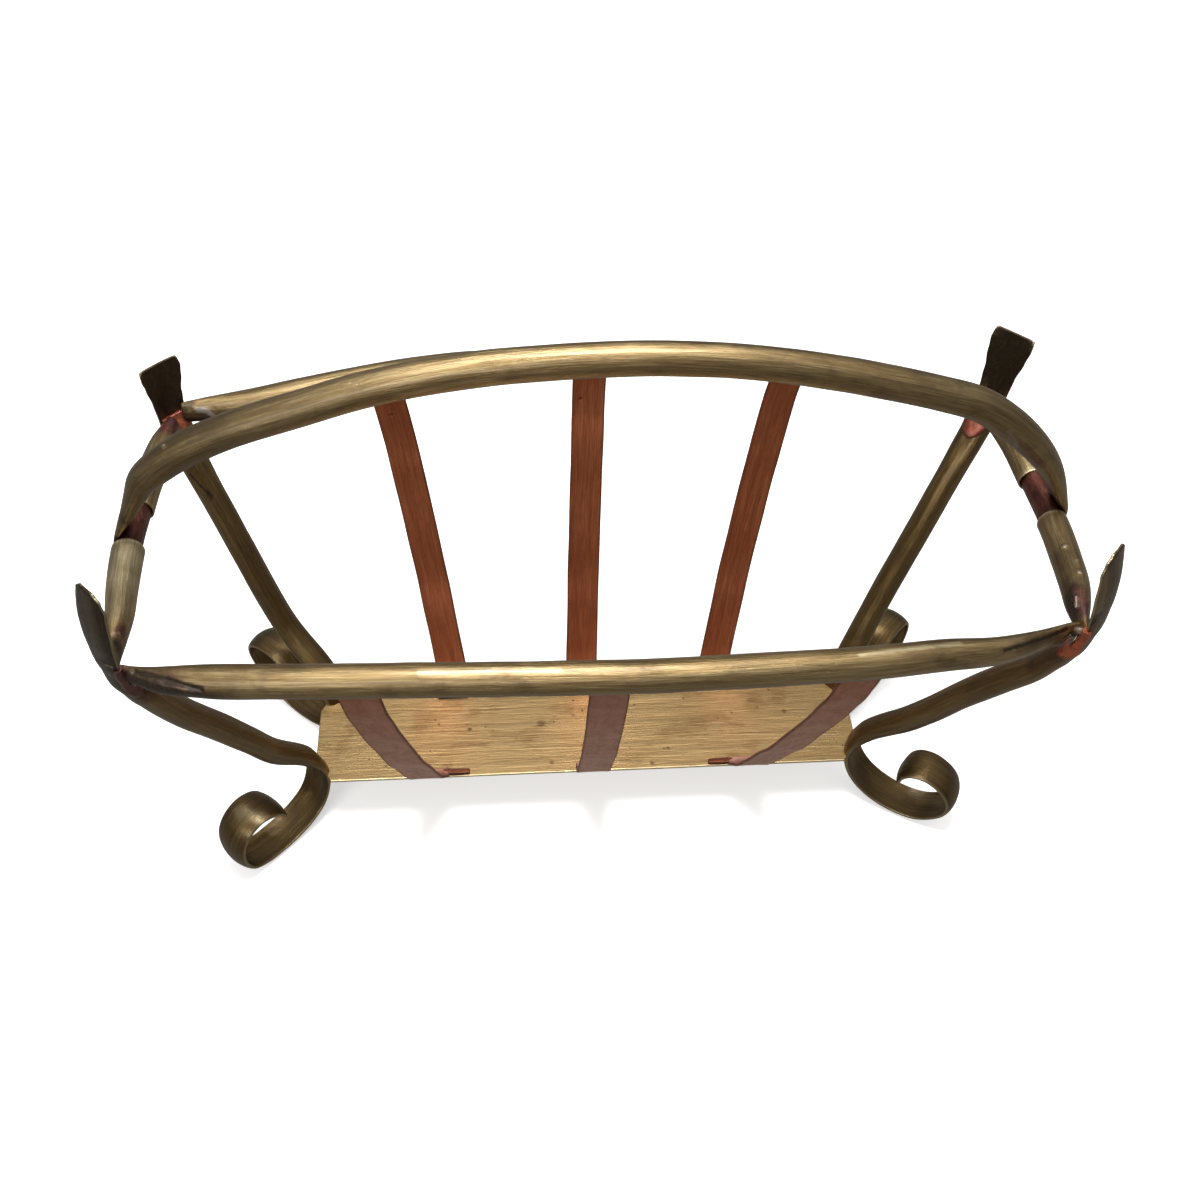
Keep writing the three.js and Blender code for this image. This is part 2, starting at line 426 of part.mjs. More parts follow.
const ends = {}, collars = {}, fatEnds = [];
for (const [side, rail, a, b] of [['left', left, 'front_left', 'back_left'], ['right', right, 'front_right', 'back_right']]) {
  const spec = COLLAR[side];
  const i0 = atY(rail, spec.y0), i1 = atY(rail, spec.y1), last = rail.fr.length - 1;
  const gap = backOff(rail, i0, GAP, -1), gap2 = backOff(rail, i1, GAP, 1);
  ends[side + '_front'] = cut(endHalf(rail, 0, gap), [...cutters(a), fatFront]);
  ends[side + '_rear'] = cut(endHalf(rail, last, gap2), [...cutters(b), fatBack]);
  collars[side] = collarSolid(rail, i0, i1, spec);
  fatEnds.push(collarSolid(rail, i0, i1, spec, GAP), railSolid(rail, spread(10, gap, 6), GAP), railSolid(rail, spread(gap2, last - 10, 6), GAP));
}

// ---------------------------------------------------------------- handle
const arch = curve(HANDLE.map(([x, z, t, w]) => [x, HANDLE_Y, z, t, w]), 420);
const archFrames = frames(arch.rows.map((r) => V(r[0], r[1], r[2])), arch.rows.map(() => V(0, 1, 0)));
const handle = cut(skin(stations(archFrames, 12, 30).map((i) => ({
  frame: archFrames[i],
  ring: ring(2 * arch.rows[i][4], arch.rows[i][3], 0, Math.max(0, Math.min(0.6, (6 - arch.rows[i][3]) / 8))),
}))), fatEnds);

// ---------------------------------------------------------------- floor sheet
const outline = new THREE.Shape([
  [-PLATE_HALF_X, -PLATE_HALF_Y + CLIP_Y], [-PLATE_HALF_X + CLIP_X, -PLATE_HALF_Y], [PLATE_HALF_X - CLIP_X, -PLATE_HALF_Y],
  [PLATE_HALF_X, -PLATE_HALF_Y + CLIP_Y], [PLATE_HALF_X, PLATE_HALF_Y - CLIP_Y], [PLATE_HALF_X - CLIP_X, PLATE_HALF_Y],
  [-PLATE_HALF_X + CLIP_X, PLATE_HALF_Y], [-PLATE_HALF_X, PLATE_HALF_Y - CLIP_Y]].map(([x, y]) => new THREE.Vector2(x, y)));
const sheet = new THREE.ExtrudeGeometry(outline, { depth: PLATE_T, bevelEnabled: false });
sheet.translate(0, 0, PLATE_Z - PLATE_T / 2);
const plate = cut(fromGeometry(sheet), Object.values(fatLegs));

// ---------------------------------------------------------------- straps
function strapRows(S) {
  const top = PLATE_Z + PLATE_T / 2 + GAP + STRAP_T / 2;      // centre of a strap that lies on the floor
  const rows = [];
  const xAt = (z) => S.xt + (S.xb - S.xt) * Math.min(1.15, Math.max(-0.1, (206 - z) / 156));
  for (const [y, z] of [...S.top, ...STRAP]) rows.push([xAt(z), S.side * y, z, S.w]);
  const x = rows[rows.length - 1][0], wide = S.foot ? 4 : 0;
  const turn = S.foot === 'left' ? 1 : S.foot === 'right' ? -1 : 0;
  const reach = S.side < 0 ? 3.2 : 11;      // how far the end lies on the floor sheet
  rows.push([x + turn * 0.5, S.side * 35.0, top + 1.2, S.w + wide], [x + turn, S.side * (34.2 - reach * 0.4), top + 0.45, S.w + wide], [x + turn, S.side * (34.2 - reach), top + 0.4, S.w + wide]);
  return rows;
}

const slab = (w, t) => [[w / 2, 0], [w / 2, t / 2], [-w / 2, t / 2], [-w / 2, 0], [-w / 2, -t / 2], [w / 2, -t / 2]];
const straps = {};
for (const [name, S] of Object.entries(STRAPS)) {
  const cv = curve(strapRows(S), 260);
  const fr = frames(cv.rows.map((r) => V(r[0], r[1], r[2])), cv.rows.map(() => V(1, 0, 0)));
  const body = skin(stations(fr, 9, 26).map((i) => ({ frame: fr[i], ring: slab(cv.rows[i][3], STRAP_T) })));
  const holes = NAILS.filter(([k]) => k === name).map(([, x, z]) => along(pin(NAIL_R, -20, 20, 8), V(x, S.side * 102, z), V(0, 1, 0)));
  straps[name] = cut(body, [S.side < 0 ? fatFront : fatBack, ...holes]);
}

// ---------------------------------------------------------------- assembly
const basket = new THREE.Group();
function add(name, body, material) {
  const m = body.getMesh();
  const g = new THREE.BufferGeometry();
  const xyz = new Float32Array(m.numVert * 3);
  for (let i = 0; i < m.numVert; i++) for (let c = 0; c < 3; c++) xyz[3 * i + c] = m.vertProperties[i * m.numProp + c];
  g.setAttribute('position', new THREE.BufferAttribute(xyz, 3));
  g.setIndex(new THREE.BufferAttribute(new Uint32Array(m.triVerts), 1));
  g.computeVertexNormals();
  const mesh = new THREE.Mesh(g, material);
  mesh.name = name;
  basket.add(mesh);
  return mesh;
}

add('base_plate', plate, sheetBrass);
for (const k of Object.keys(legs)) add('leg_' + k, legs[k], darkBrass);
add('front_rail', frontRail, agedBrass);
add('back_rail', backRail, agedBrass);
for (const k of Object.keys(ends)) add('end_rail_' + k, ends[k], agedBrass);
for (const k of Object.keys(collars)) add('collar_' + k, collars[k], darkCopper);
add('handle', handle, agedBrass);
for (const k of Object.keys(straps)) add('strap_' + k, straps[k], copper);
for (const k of Object.keys(lugs)) add('corner_lug_' + k, lugs[k], darkCopper);
for (const k of Object.keys(rivets)) add('corner_rivet_' + k, rivets[k], steel);

// centre the whole basket over the origin in plan
const box = new THREE.Box3().setFromObject(basket);
basket.position.set(-(box.min.x + box.max.x) / 2, -(box.min.y + box.max.y) / 2, -box.min.z);
basket.updateMatrixWorld(true);

export default basket;
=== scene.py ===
# Fireside log basket in brass and copper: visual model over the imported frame.
import bpy, math
import numpy as np
from mathutils import Matrix, Vector, noise


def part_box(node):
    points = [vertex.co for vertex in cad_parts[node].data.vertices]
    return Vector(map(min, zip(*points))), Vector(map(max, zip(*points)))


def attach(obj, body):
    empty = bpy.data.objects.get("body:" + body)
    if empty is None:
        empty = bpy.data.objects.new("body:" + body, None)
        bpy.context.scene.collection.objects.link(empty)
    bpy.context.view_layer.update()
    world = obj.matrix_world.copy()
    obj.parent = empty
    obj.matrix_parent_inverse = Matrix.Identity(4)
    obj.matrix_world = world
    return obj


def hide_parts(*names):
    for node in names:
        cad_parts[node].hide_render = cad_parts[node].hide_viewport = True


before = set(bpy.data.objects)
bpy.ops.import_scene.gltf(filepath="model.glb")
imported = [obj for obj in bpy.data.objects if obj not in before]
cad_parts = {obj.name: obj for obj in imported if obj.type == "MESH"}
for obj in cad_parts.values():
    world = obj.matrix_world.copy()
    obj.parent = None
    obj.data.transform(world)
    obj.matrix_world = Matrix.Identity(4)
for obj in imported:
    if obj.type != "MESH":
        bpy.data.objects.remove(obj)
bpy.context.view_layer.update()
lo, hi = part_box("base_plate")
OFF = np.array([(lo[0] + hi[0]) * 500, (lo[1] + hi[1]) * 500, 0.0])   # mm, from sheet centre to frame origin

# ------------------------------------------------------------------ driving numbers, mm
PLATE_HALF_X, PLATE_HALF_Y, PLATE_Z, PLATE_T = 161.8, 35.1, 36.6, 1.6
CLIP_X, CLIP_Y = 9.4, 17.6
CLIP_MID = [157.3, 26.4]
LEGS = {
  'front_left': { 'sx': -1, 'sy': -1, 'foot': 45.2, 'shift': -4.9, 'rim': 42.7, 'face': 45, 'band0': 20.1, 'band1': 23.0, 'tip': 24.0, 'round': 0.45, 'belly': [23.6, 22.4, 19.6],
    'run': [[90.8, 261.0], [95.4, 240], [95.8, 226], [94.4, 211], [90.0, 198], [83.5, 186], [77.8, 174], [68, 155], [54, 131], [39.1, 104], [26.2, 79]],
    'scroll': [[7.0, 54.0], [0.6, 42.8], [-1.5, 33.5], [0.2, 23.1], [5.7, 13.2], [15.3, 6.4], [27.0, 2.8], [39.8, 1.6], [51.8, 2.6], [61.4, 7.0], [66.3, 15.6], [67.4, 25.5], [64.7, 35.4], [58.3, 42.5], [49.8, 45.6], [41.3, 43.7], [35.7, 39.5], [32.7, 34.6]] },
  'front_right': { 'sx': 1, 'sy': -1, 'foot': 31.2, 'shift': -4.0, 'rim': 40.5, 'face': 45, 'band0': 21.9, 'band1': 21.3, 'tip': 24.0, 'round': 0.45, 'belly': [23.6, 22.4, 19.6],
    'run': [[93.9, 264.6], [98.8, 243], [99.8, 228], [98.8, 213], [94.0, 200], [87.5, 188.5], [80.5, 174], [68.1, 155], [53.1, 131], [38.6, 104], [25.6, 79]],
    'scroll': [[7.6, 56.1], [0.8, 44.8], [-1.4, 35.4], [0.5, 25.0], [6.8, 15.1], [15.7, 7.8], [26.3, 3.3], [38.0, 1.6], [49.2, 3.2], [58.8, 9.3], [65.5, 17.8], [67.0, 27.0], [63.5, 36.0], [56.1, 42.6], [46.9, 45.7], [38.3, 43.8], [33.5, 38.6], [31.8, 32.1]] },
  'back_left': { 'sx': -1, 'sy': 1, 'foot': 41.9, 'shift': -4.9, 'rim': 44.7, 'face': 46, 'band0': 19.6, 'band1': 19.0, 'tip': 24.5, 'round': 0.93, 'belly': [22.3, 18.5, 17],
    'run': [[99.4, 240.4], [100.2, 230], [100.2, 219], [99.1, 208.9], [95.8, 197], [91, 186], [84.5, 174], [73.5, 155], [59.9, 131], [46.5, 104], [34.0, 78]],
    'scroll': [[8.8, 55.1], [-1.6, 42.7], [-5.7, 32.2], [-4.5, 21.1], [1.7, 11.2], [10.6, 4.9], [21.9, 2.0], [34.1, 2.1], [46.6, 5.9], [57.7, 13.6], [66.1, 23.6], [70.1, 33.4], [68.3, 42.5], [60.8, 48.4], [50.1, 50.4], [38.8, 47.4], [32.4, 42.0], [29.0, 36.0]] },
  'back_right': { 'sx': 1, 'sy': 1, 'foot': 46.0, 'shift': 3.0, 'rim': 39.1, 'face': 47, 'band0': 20.1, 'band1': 20.3, 'tip': 24.5, 'round': 0.93, 'belly': [22.3, 18.5, 17],
    'run': [[102.4, 252.6], [100.8, 240], [98.8, 228], [96.7, 215.9], [92.8, 204], [86.5, 190], [77.2, 174], [66.1, 155], [52.5, 131], [36.9, 104], [21, 78]],
    'scroll': [[6.0, 56.1], [-2.0, 44.7], [-4.5, 35.2], [-2.6, 24.8], [4.5, 15.0], [14.5, 7.9], [25.7, 3.3], [37.9, 1.8], [49.6, 4.6], [59.8, 12.3], [67.3, 23.1], [70.4, 34.2], [68.6, 44.0], [61.5, 50.6], [50.8, 52.0], [39.9, 48.9], [33.0, 43.0], [29.5, 36.5]] },
}
FRONT_RAIL = [
  [-222.5, -91.5, 211.6, 3.2, 2.6], [-213, -94.6, 211.0, 4.6, 3.8], [-204, -97.0, 210.6, 6.2, 5.6], [-182, -100.2, 211.8, 7.9, 7.7], [-148, -105.0, 215.4, 8.0, 8.0],
  [-94.5, -110.2, 219.5, 8.0, 8.0], [-22, -114.5, 222.2, 7.9, 7.9], [25, -115.3, 222.4, 7.9, 7.9], [72.5, -113.3, 221.4, 7.9, 7.9],
  [99, -111.4, 220.0, 7.9, 7.9], [127, -108.5, 218.2, 7.9, 7.9], [157.4, -104.0, 215.9, 7.8, 7.4], [184.7, -99.9, 212.9, 7.1, 6.2],
  [206.7, -92.6, 210.9, 5.4, 4.2], [219.5, -87.4, 210.5, 4.0, 2.8], [224.0, -85.6, 210.4, 3.3, 2.4]]
BACK_RAIL = [
  [-220.0, 96.6, 207.4, 6.6, 2.8], [-206.5, 97.8, 208.4, 7.6, 4.8], [-195.3, 98.4, 209.4, 7.8, 6.6], [-173, 99.9, 212.6, 8.1, 8],
  [-151.1, 102.6, 215.6, 8.1, 8.1], [-128.9, 105.7, 218.2, 8.1, 8.1], [-106.9, 109.5, 219.8, 8.1, 8.1], [-84.7, 112.5, 220.9, 8.1, 8.1],
  [-40, 115, 222.3, 8.1, 8.1], [-0.9, 116.1, 222.7, 8.1, 8.1], [54, 117.1, 221.1, 8.1, 8.1], [88.7, 116, 219.4, 8.1, 8.1],
  [129.9, 112, 216.6, 8.1, 8.1], [163.5, 106.1, 214, 8.1, 7.8], [189.2, 99.9, 211.8, 7.8, 6.8], [205.7, 94.9, 210.5, 7, 4.8],
  [221, 87, 209.8, 6, 2.6]]
LEFT_RAIL = [
  [-224.6, -90.0, 209.6, 4.4, 1.8], [-226.4, -80.5, 208.8, 6.0, 3.4], [-227.8, -68, 207.9, 7.2, 5.4], [-228.6, -55.5, 207.2, 7.8, 6.6], [-230.9, -36.6, 206, 8.0, 7.6],
  [-232.8, -15, 205, 8.1, 8.1], [-233.5, 6.4, 204.5, 8.1, 8.1], [-232.9, 22.6, 205, 8.0, 7.9], [-231.3, 38, 206.5, 8.0, 7.6],
  [-229.5, 54.7, 206.9, 7.8, 7.4], [-227.7, 71.7, 207.2, 7.2, 6.2], [-224.6, 85.6, 207.2, 6.2, 3.6]]
RIGHT_RAIL = [
  [228.6, -90.0, 210.8, 4.4, 1.8], [230.6, -80.5, 209.9, 6.0, 3.6], [232.8, -69, 209, 7.4, 6.0], [235.4, -57.8, 208, 7.8, 7.1], [238.2, -36, 206.3, 8.0, 7.6],
  [239.8, -16.2, 205.2, 8.0, 7.8], [240.2, 0, 204.6, 8.0, 7.8], [239.8, 15, 204.6, 8.0, 7.8], [238.8, 32, 205.6, 8.0, 7.8],
  [236.5, 52, 207.6, 7.8, 7.6], [232.4, 66, 208.8, 7.2, 6.4], [227.6, 76, 209.3, 6.2, 3.8]]
COLLAR = {             
  'left': { 'y0': -7.4, 'y1': 20.2, 'up': 7.8, 'out': 6.4 },
  'right': { 'y0': -6.5, 'y1': 24.6, 'up': 7.8, 'out': 6.0 },
}
HANDLE = [
  [-240.2, 199.5, 1.0, 6.8], [-239.8, 206.0, 1.1, 8.2], [-235.6, 215.0, 2.2, 8.8], [-230.8, 222.6, 3.8, 8.7], [-225.4, 232.0, 5.4, 8.6],
  [-219.1, 242.7, 7.2, 8.6], [-207.6, 252.7, 8.4, 8.6], [-193.3, 262.2, 8.7, 8.6], [-175.0, 271.1, 8.7, 8.6], [-141.4, 283.0, 8.6, 8.6],
  [-101.5, 295.6, 8.5, 8.5], [-60.5, 303.6, 8.4, 8.4], [-9.8, 307.9, 8.3, 8.3], [42.0, 307.8, 8.2, 8.2], [84.0, 303.3, 8.2, 8.2],
  [134.1, 292.8, 8.5, 8.5], [165.7, 284.1, 8.5, 8.5], [186.8, 276.7, 8.6, 8.6], [203.1, 266.0, 8.6, 8.6], [220.9, 249.9, 7.7, 8.6],
  [234.9, 232.9, 5.8, 8.6], [243.0, 217.6, 3.5, 8.5], [246.6, 210.0, 1.8, 8.0], [247.6, 203.0, 0.9, 6.8]]
STRAP = [[97.3, 178], [93.5, 167], [89.5, 154], [81, 132], [76.5, 121], [66.5, 96], [59, 82], [48.5, 60], [42.5, 48.5], [38.4, 42.4]]
STRAPS = {
  'front_left': { 'side': -1, 'xt': -115.9, 'xb': -96.5, 'w': 19.6, 'top': [[100.4, 217.5], [100.6, 212], [100.6, 206], [99.7, 194]], 'foot': 'left' },
  'front_centre': { 'side': -1, 'xt': 1.6, 'xb': 1.0, 'w': 19.4, 'top': [[105.6, 220], [105.4, 214.5], [104.4, 208], [101.6, 194]], 'foot': '' },
  'front_right': { 'side': -1, 'xt': 122.5, 'xb': 95.5, 'w': 19.4, 'top': [[100.1, 216.5], [100.3, 211.5], [100.4, 206], [99.6, 194]], 'foot': 'right' },
  'back_left': { 'side': 1, 'xt': -107.8, 'xb': -83.0, 'w': 18.6, 'top': [[101.2, 228], [101.4, 219], [101.6, 207], [100.3, 194]], 'foot': '' },
  'back_centre': { 'side': 1, 'xt': 4.4, 'xb': -1.2, 'w': 19.0, 'top': [[109.4, 231], [109.4, 221], [108.0, 210], [104.0, 195]], 'foot': '' },
  'back_right': { 'side': 1, 'xt': 115.2, 'xb': 83.5, 'w': 19.0, 'top': [[105.4, 227], [105.4, 217], [104.6, 206], [101.8, 193]], 'foot': '' },
}
LUG_START = { 'front_left': -7, 'front_right': -8, 'back_left': 1, 'back_right': 1 }
LUG_ARC = { 'front_left': [-38, 84], 'front_right': [-38, 90], 'back_left': [35, 145], 'back_right': [35, 145] }
HANDLE_Y, STRAP_T = 2, 1.6
TOE = {'left': 11, 'right': 11}
LUG_W, LUG_T, LUG_LEN = 15.5, 1.2, 27
FLOOR_GLOSSY = 1.05
SKY = [(0.0, 0.10), (0.30, 0.20), (0.62, 0.52), (0.85, 0.62), (1.0, 0.9)]
SKY_GAIN = 1.0
LIGHTS = [("top", (-0.06, 0.02, 1.5), (0, 0, 0.1), 0.60, 0.42, 21), ("front", (-0.9, -1.5, 1.2), (0, 0, 0.1), 0.9, 0.6, 14)]
GAP = 0.35
rad = math.pi / 180


# ------------------------------------------------------------------ small maths
def smooth(t):
    c = np.clip(t, 0, 1)
    return c * c * (3 - 2 * c)


def unit(v):
    return v / np.linalg.norm(v, axis=-1, keepdims=True)


def curve(rows, n):
    rows = np.array(rows, float)
    d = np.linalg.norm(np.diff(rows[:, :3], axis=0), axis=1)
    s = np.r_[0, np.cumsum(d)]
    sec = np.diff(rows, axis=0) / d[:, None]
    slope = np.empty_like(rows)
    slope[0], slope[-1] = sec[0], sec[-1]
    for i in range(1, len(rows) - 1):
        w = (s[i + 1] - s[i]) / (s[i + 1] - s[i - 1])
        slope[i] = sec[i - 1] * w + sec[i] * (1 - w)
    t = np.linspace(0, s[-1], n)
    i = np.clip(np.searchsorted(s, t, side="right") - 1, 0, len(rows) - 2)
    h = (s[i + 1] - s[i])[:, None]
    u = (t - s[i])[:, None] / h
    out = ((2 * u ** 3 - 3 * u ** 2 + 1) * rows[i] + (u ** 3 - 2 * u ** 2 + u) * h * slope[i]
           + (-2 * u ** 3 + 3 * u ** 2) * rows[i + 1] + (u ** 3 - u ** 2) * h * slope[i + 1])
    return out, s / s[-1]


def keyed(keys, u):
    keys = np.array(keys, float)
    u = np.atleast_1d(u)
    i = np.clip(np.searchsorted(keys[:, 0], u, side="right") - 1, 0, len(keys) - 2)
    t = smooth((u - keys[i, 0]) / (keys[i + 1, 0] - keys[i, 0]))[:, None]
    return keys[i, 1:] + (keys[i + 1, 1:] - keys[i, 1:]) * t


def ring(w, h, dish=0.0, flat=0.0, sides=48):
    w, h, dish, flat = [np.atleast_1d(np.asarray(x, float))[:, None] for x in (w, h, dish, flat)]
    a = 2 * np.pi * np.arange(sides) / sides
    c, s = np.cos(a)[None, :], np.sin(a)[None, :]
    u = np.sign(c) * np.abs(c) ** (1 - 0.35 * flat)
    v = np.where(np.abs(s) < 1e-9, 0, np.sign(s) * np.abs(s) ** (1 - 0.75 * flat))
    return np.stack([u * w / 2, h * v + dish * u * u], -1)


def frames(c, w, hand=1):
    T = np.empty_like(c)
    T[1:-1] = c[2:] - c[:-2]
    T[0], T[-1] = c[1] - c[0], c[-1] - c[-2]
    T = unit(T)
    W = unit(w - T * np.sum(w * T, axis=1, keepdims=True))
    N = np.cross(T, W) * hand
    return T, W, N


PIECES = {}


class Skin:
    """Closed skin over rings of (width, normal) points along a line."""

    def __init__(self, c, T, W, N, rings, hand=1, ends=(0.6, 0.6), wobble=0.0, seed=0, caps=(True, True)):
        c, T, W, N, rings = [np.array(x, float) for x in (c, T, W, N, rings)]
        if rings.shape[0] == 1:
            rings = np.repeat(rings, len(c), 0)
        # rounded ends
        for side in (0, 1):
            e = ends[side]
            if not e:
                continue
            k = 0 if side == 0 else -1
            sg = -1 if side == 0 else 1
            add_c, add_r = [], []
            for f, q in ((0.30, 0.93), (0.62, 0.74), (0.90, 0.42)):
                r = rings[k].copy()
                m = r.mean(0)
                width = np.abs(r[:, 0]).max()
                thick = max(0.3, np.ptp(r[:, 1]) / 2)
                r = np.stack([np.sign(r[:, 0]) * np.maximum(0, np.abs(r[:, 0]) - min(width, e * 2) * (1 - q)),
                              m[1] + (r[:, 1] - m[1]) * (q if thick < 2.5 else 1 - (1 - q) * e / thick)], -1)
                add_c.append(c[k] + sg * T[k] * e * f)
                add_r.append(r)
            add_c, add_r = np.array(add_c), np.array(add_r)
            one = lambda X: np.repeat(X[k][None], 3, 0)
            if side == 0:
                c, T, W, N, rings = np.r_[add_c[::-1], c], np.r_[one(T), T], np.r_[one(W), W], np.r_[one(N), N], np.r_[add_r[::-1], rings]
            else:
                c, T, W, N, rings = np.r_[c, add_c], np.r_[T, one(T)], np.r_[W, one(W)], np.r_[N, one(N)], np.r_[rings, add_r]
        self.n, self.s = rings.shape[:2]
        P = c[:, None] + W[:, None] * rings[..., :1] + N[:, None] * rings[..., 1:]
        along = np.r_[0, np.cumsum(np.linalg.norm(np.diff(c, axis=0), axis=1))]
        out = unit(P - c[:, None] + 1e-9)
        if wobble:
            D = np.array([noise.noise(Vector((a * 0.045 + seed * 7.3, r[0] * 0.16, r[1] * 0.16 + seed))) for a, rr in zip(along, rings) for r in rr]).reshape(self.n, self.s, 1)
            P = P + out * D * wobble
        self.P = P.reshape(-1, 3)
        self.out = out.reshape(-1, 3)
        self.grain = np.stack([np.repeat(along[:, None], self.s, 1), rings[..., 0], rings[..., 1]], -1).reshape(-1, 3)
        self.grain[:, 1] += seed * 31.7
        self.grain[:, 0] += seed * 211.0
        self.edge = (np.abs(rings[..., 0]) / (np.abs(rings[..., 0]).max(1, keepdims=True) + 1e-9)).reshape(-1)
        self.u = np.repeat(np.linspace(0, 1, self.n)[:, None], self.s, 1).reshape(-1)
        F = []
        n, s = self.n, self.s
        i, j = np.meshgrid(np.arange(n - 1), np.arange(s), indexing="ij")
        k = (j + 1) % s
        Q = np.stack([i * s + j, (i + 1) * s + j, (i + 1) * s + k, i * s + k], -1).reshape(-1, 4)
        self.quads = Q[:, ::-1] if hand < 0 else Q
        self.caps = []
        if caps[0]:
            r = list(range(s))
            self.caps.append(r if hand > 0 else r[::-1])
        if caps[1]:
            r = list(range((n - 1) * s, n * s))[::-1]
            self.caps.append(r if hand > 0 else r[::-1])
        self.tint = np.zeros((len(self.P), 4))


def build(name, skins, mat, nodes, flatcaps=True):
    P = np.concatenate([k.P for k in skins])
    g = np.concatenate([k.grain for k in skins])
    t = np.concatenate([k.tint for k in skins])
    out = np.concatenate([k.out for k in skins])
    F, o = [], 0
    for k in skins:
        F += [[int(a) + o for a in q] for q in k.quads] + [[int(a) + o for a in q] for q in k.caps]
        o += len(k.P)
    P, t = paint(name, P, out, t)
    me = bpy.data.meshes.new(name)
    me.from_pydata(((P + OFF) / 1000).tolist(), [], F)
    a = me.attributes.new("grain", "FLOAT_VECTOR", "POINT")
    a.data.foreach_set("vector", g.astype(np.float32).ravel())
    a = me.color_attributes.new("tint", "FLOAT_COLOR", "POINT")
    a.data.foreach_set("color", np.clip(t, 0, 1).astype(np.float32).ravel())
    me.materials.append(mat)
    me.polygons.foreach_set("use_smooth", [True] * len(me.polygons))
    me.update()
    ob = bpy.data.objects.new(name, me)
    bpy.context.scene.collection.objects.link(ob)
    import bmesh
    bm = bmesh.new()
    bm.from_mesh(me)
    bmesh.ops.recalc_face_normals(bm, faces=bm.faces)
    for f in bm.faces:
        if len(f.verts) > 4:
            f.smooth = False
    bm.to_mesh(me)
    bm.free()
    PIECES[name] = ob
    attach(ob, "root")
    if nodes:
        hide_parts(*nodes)
    return ob


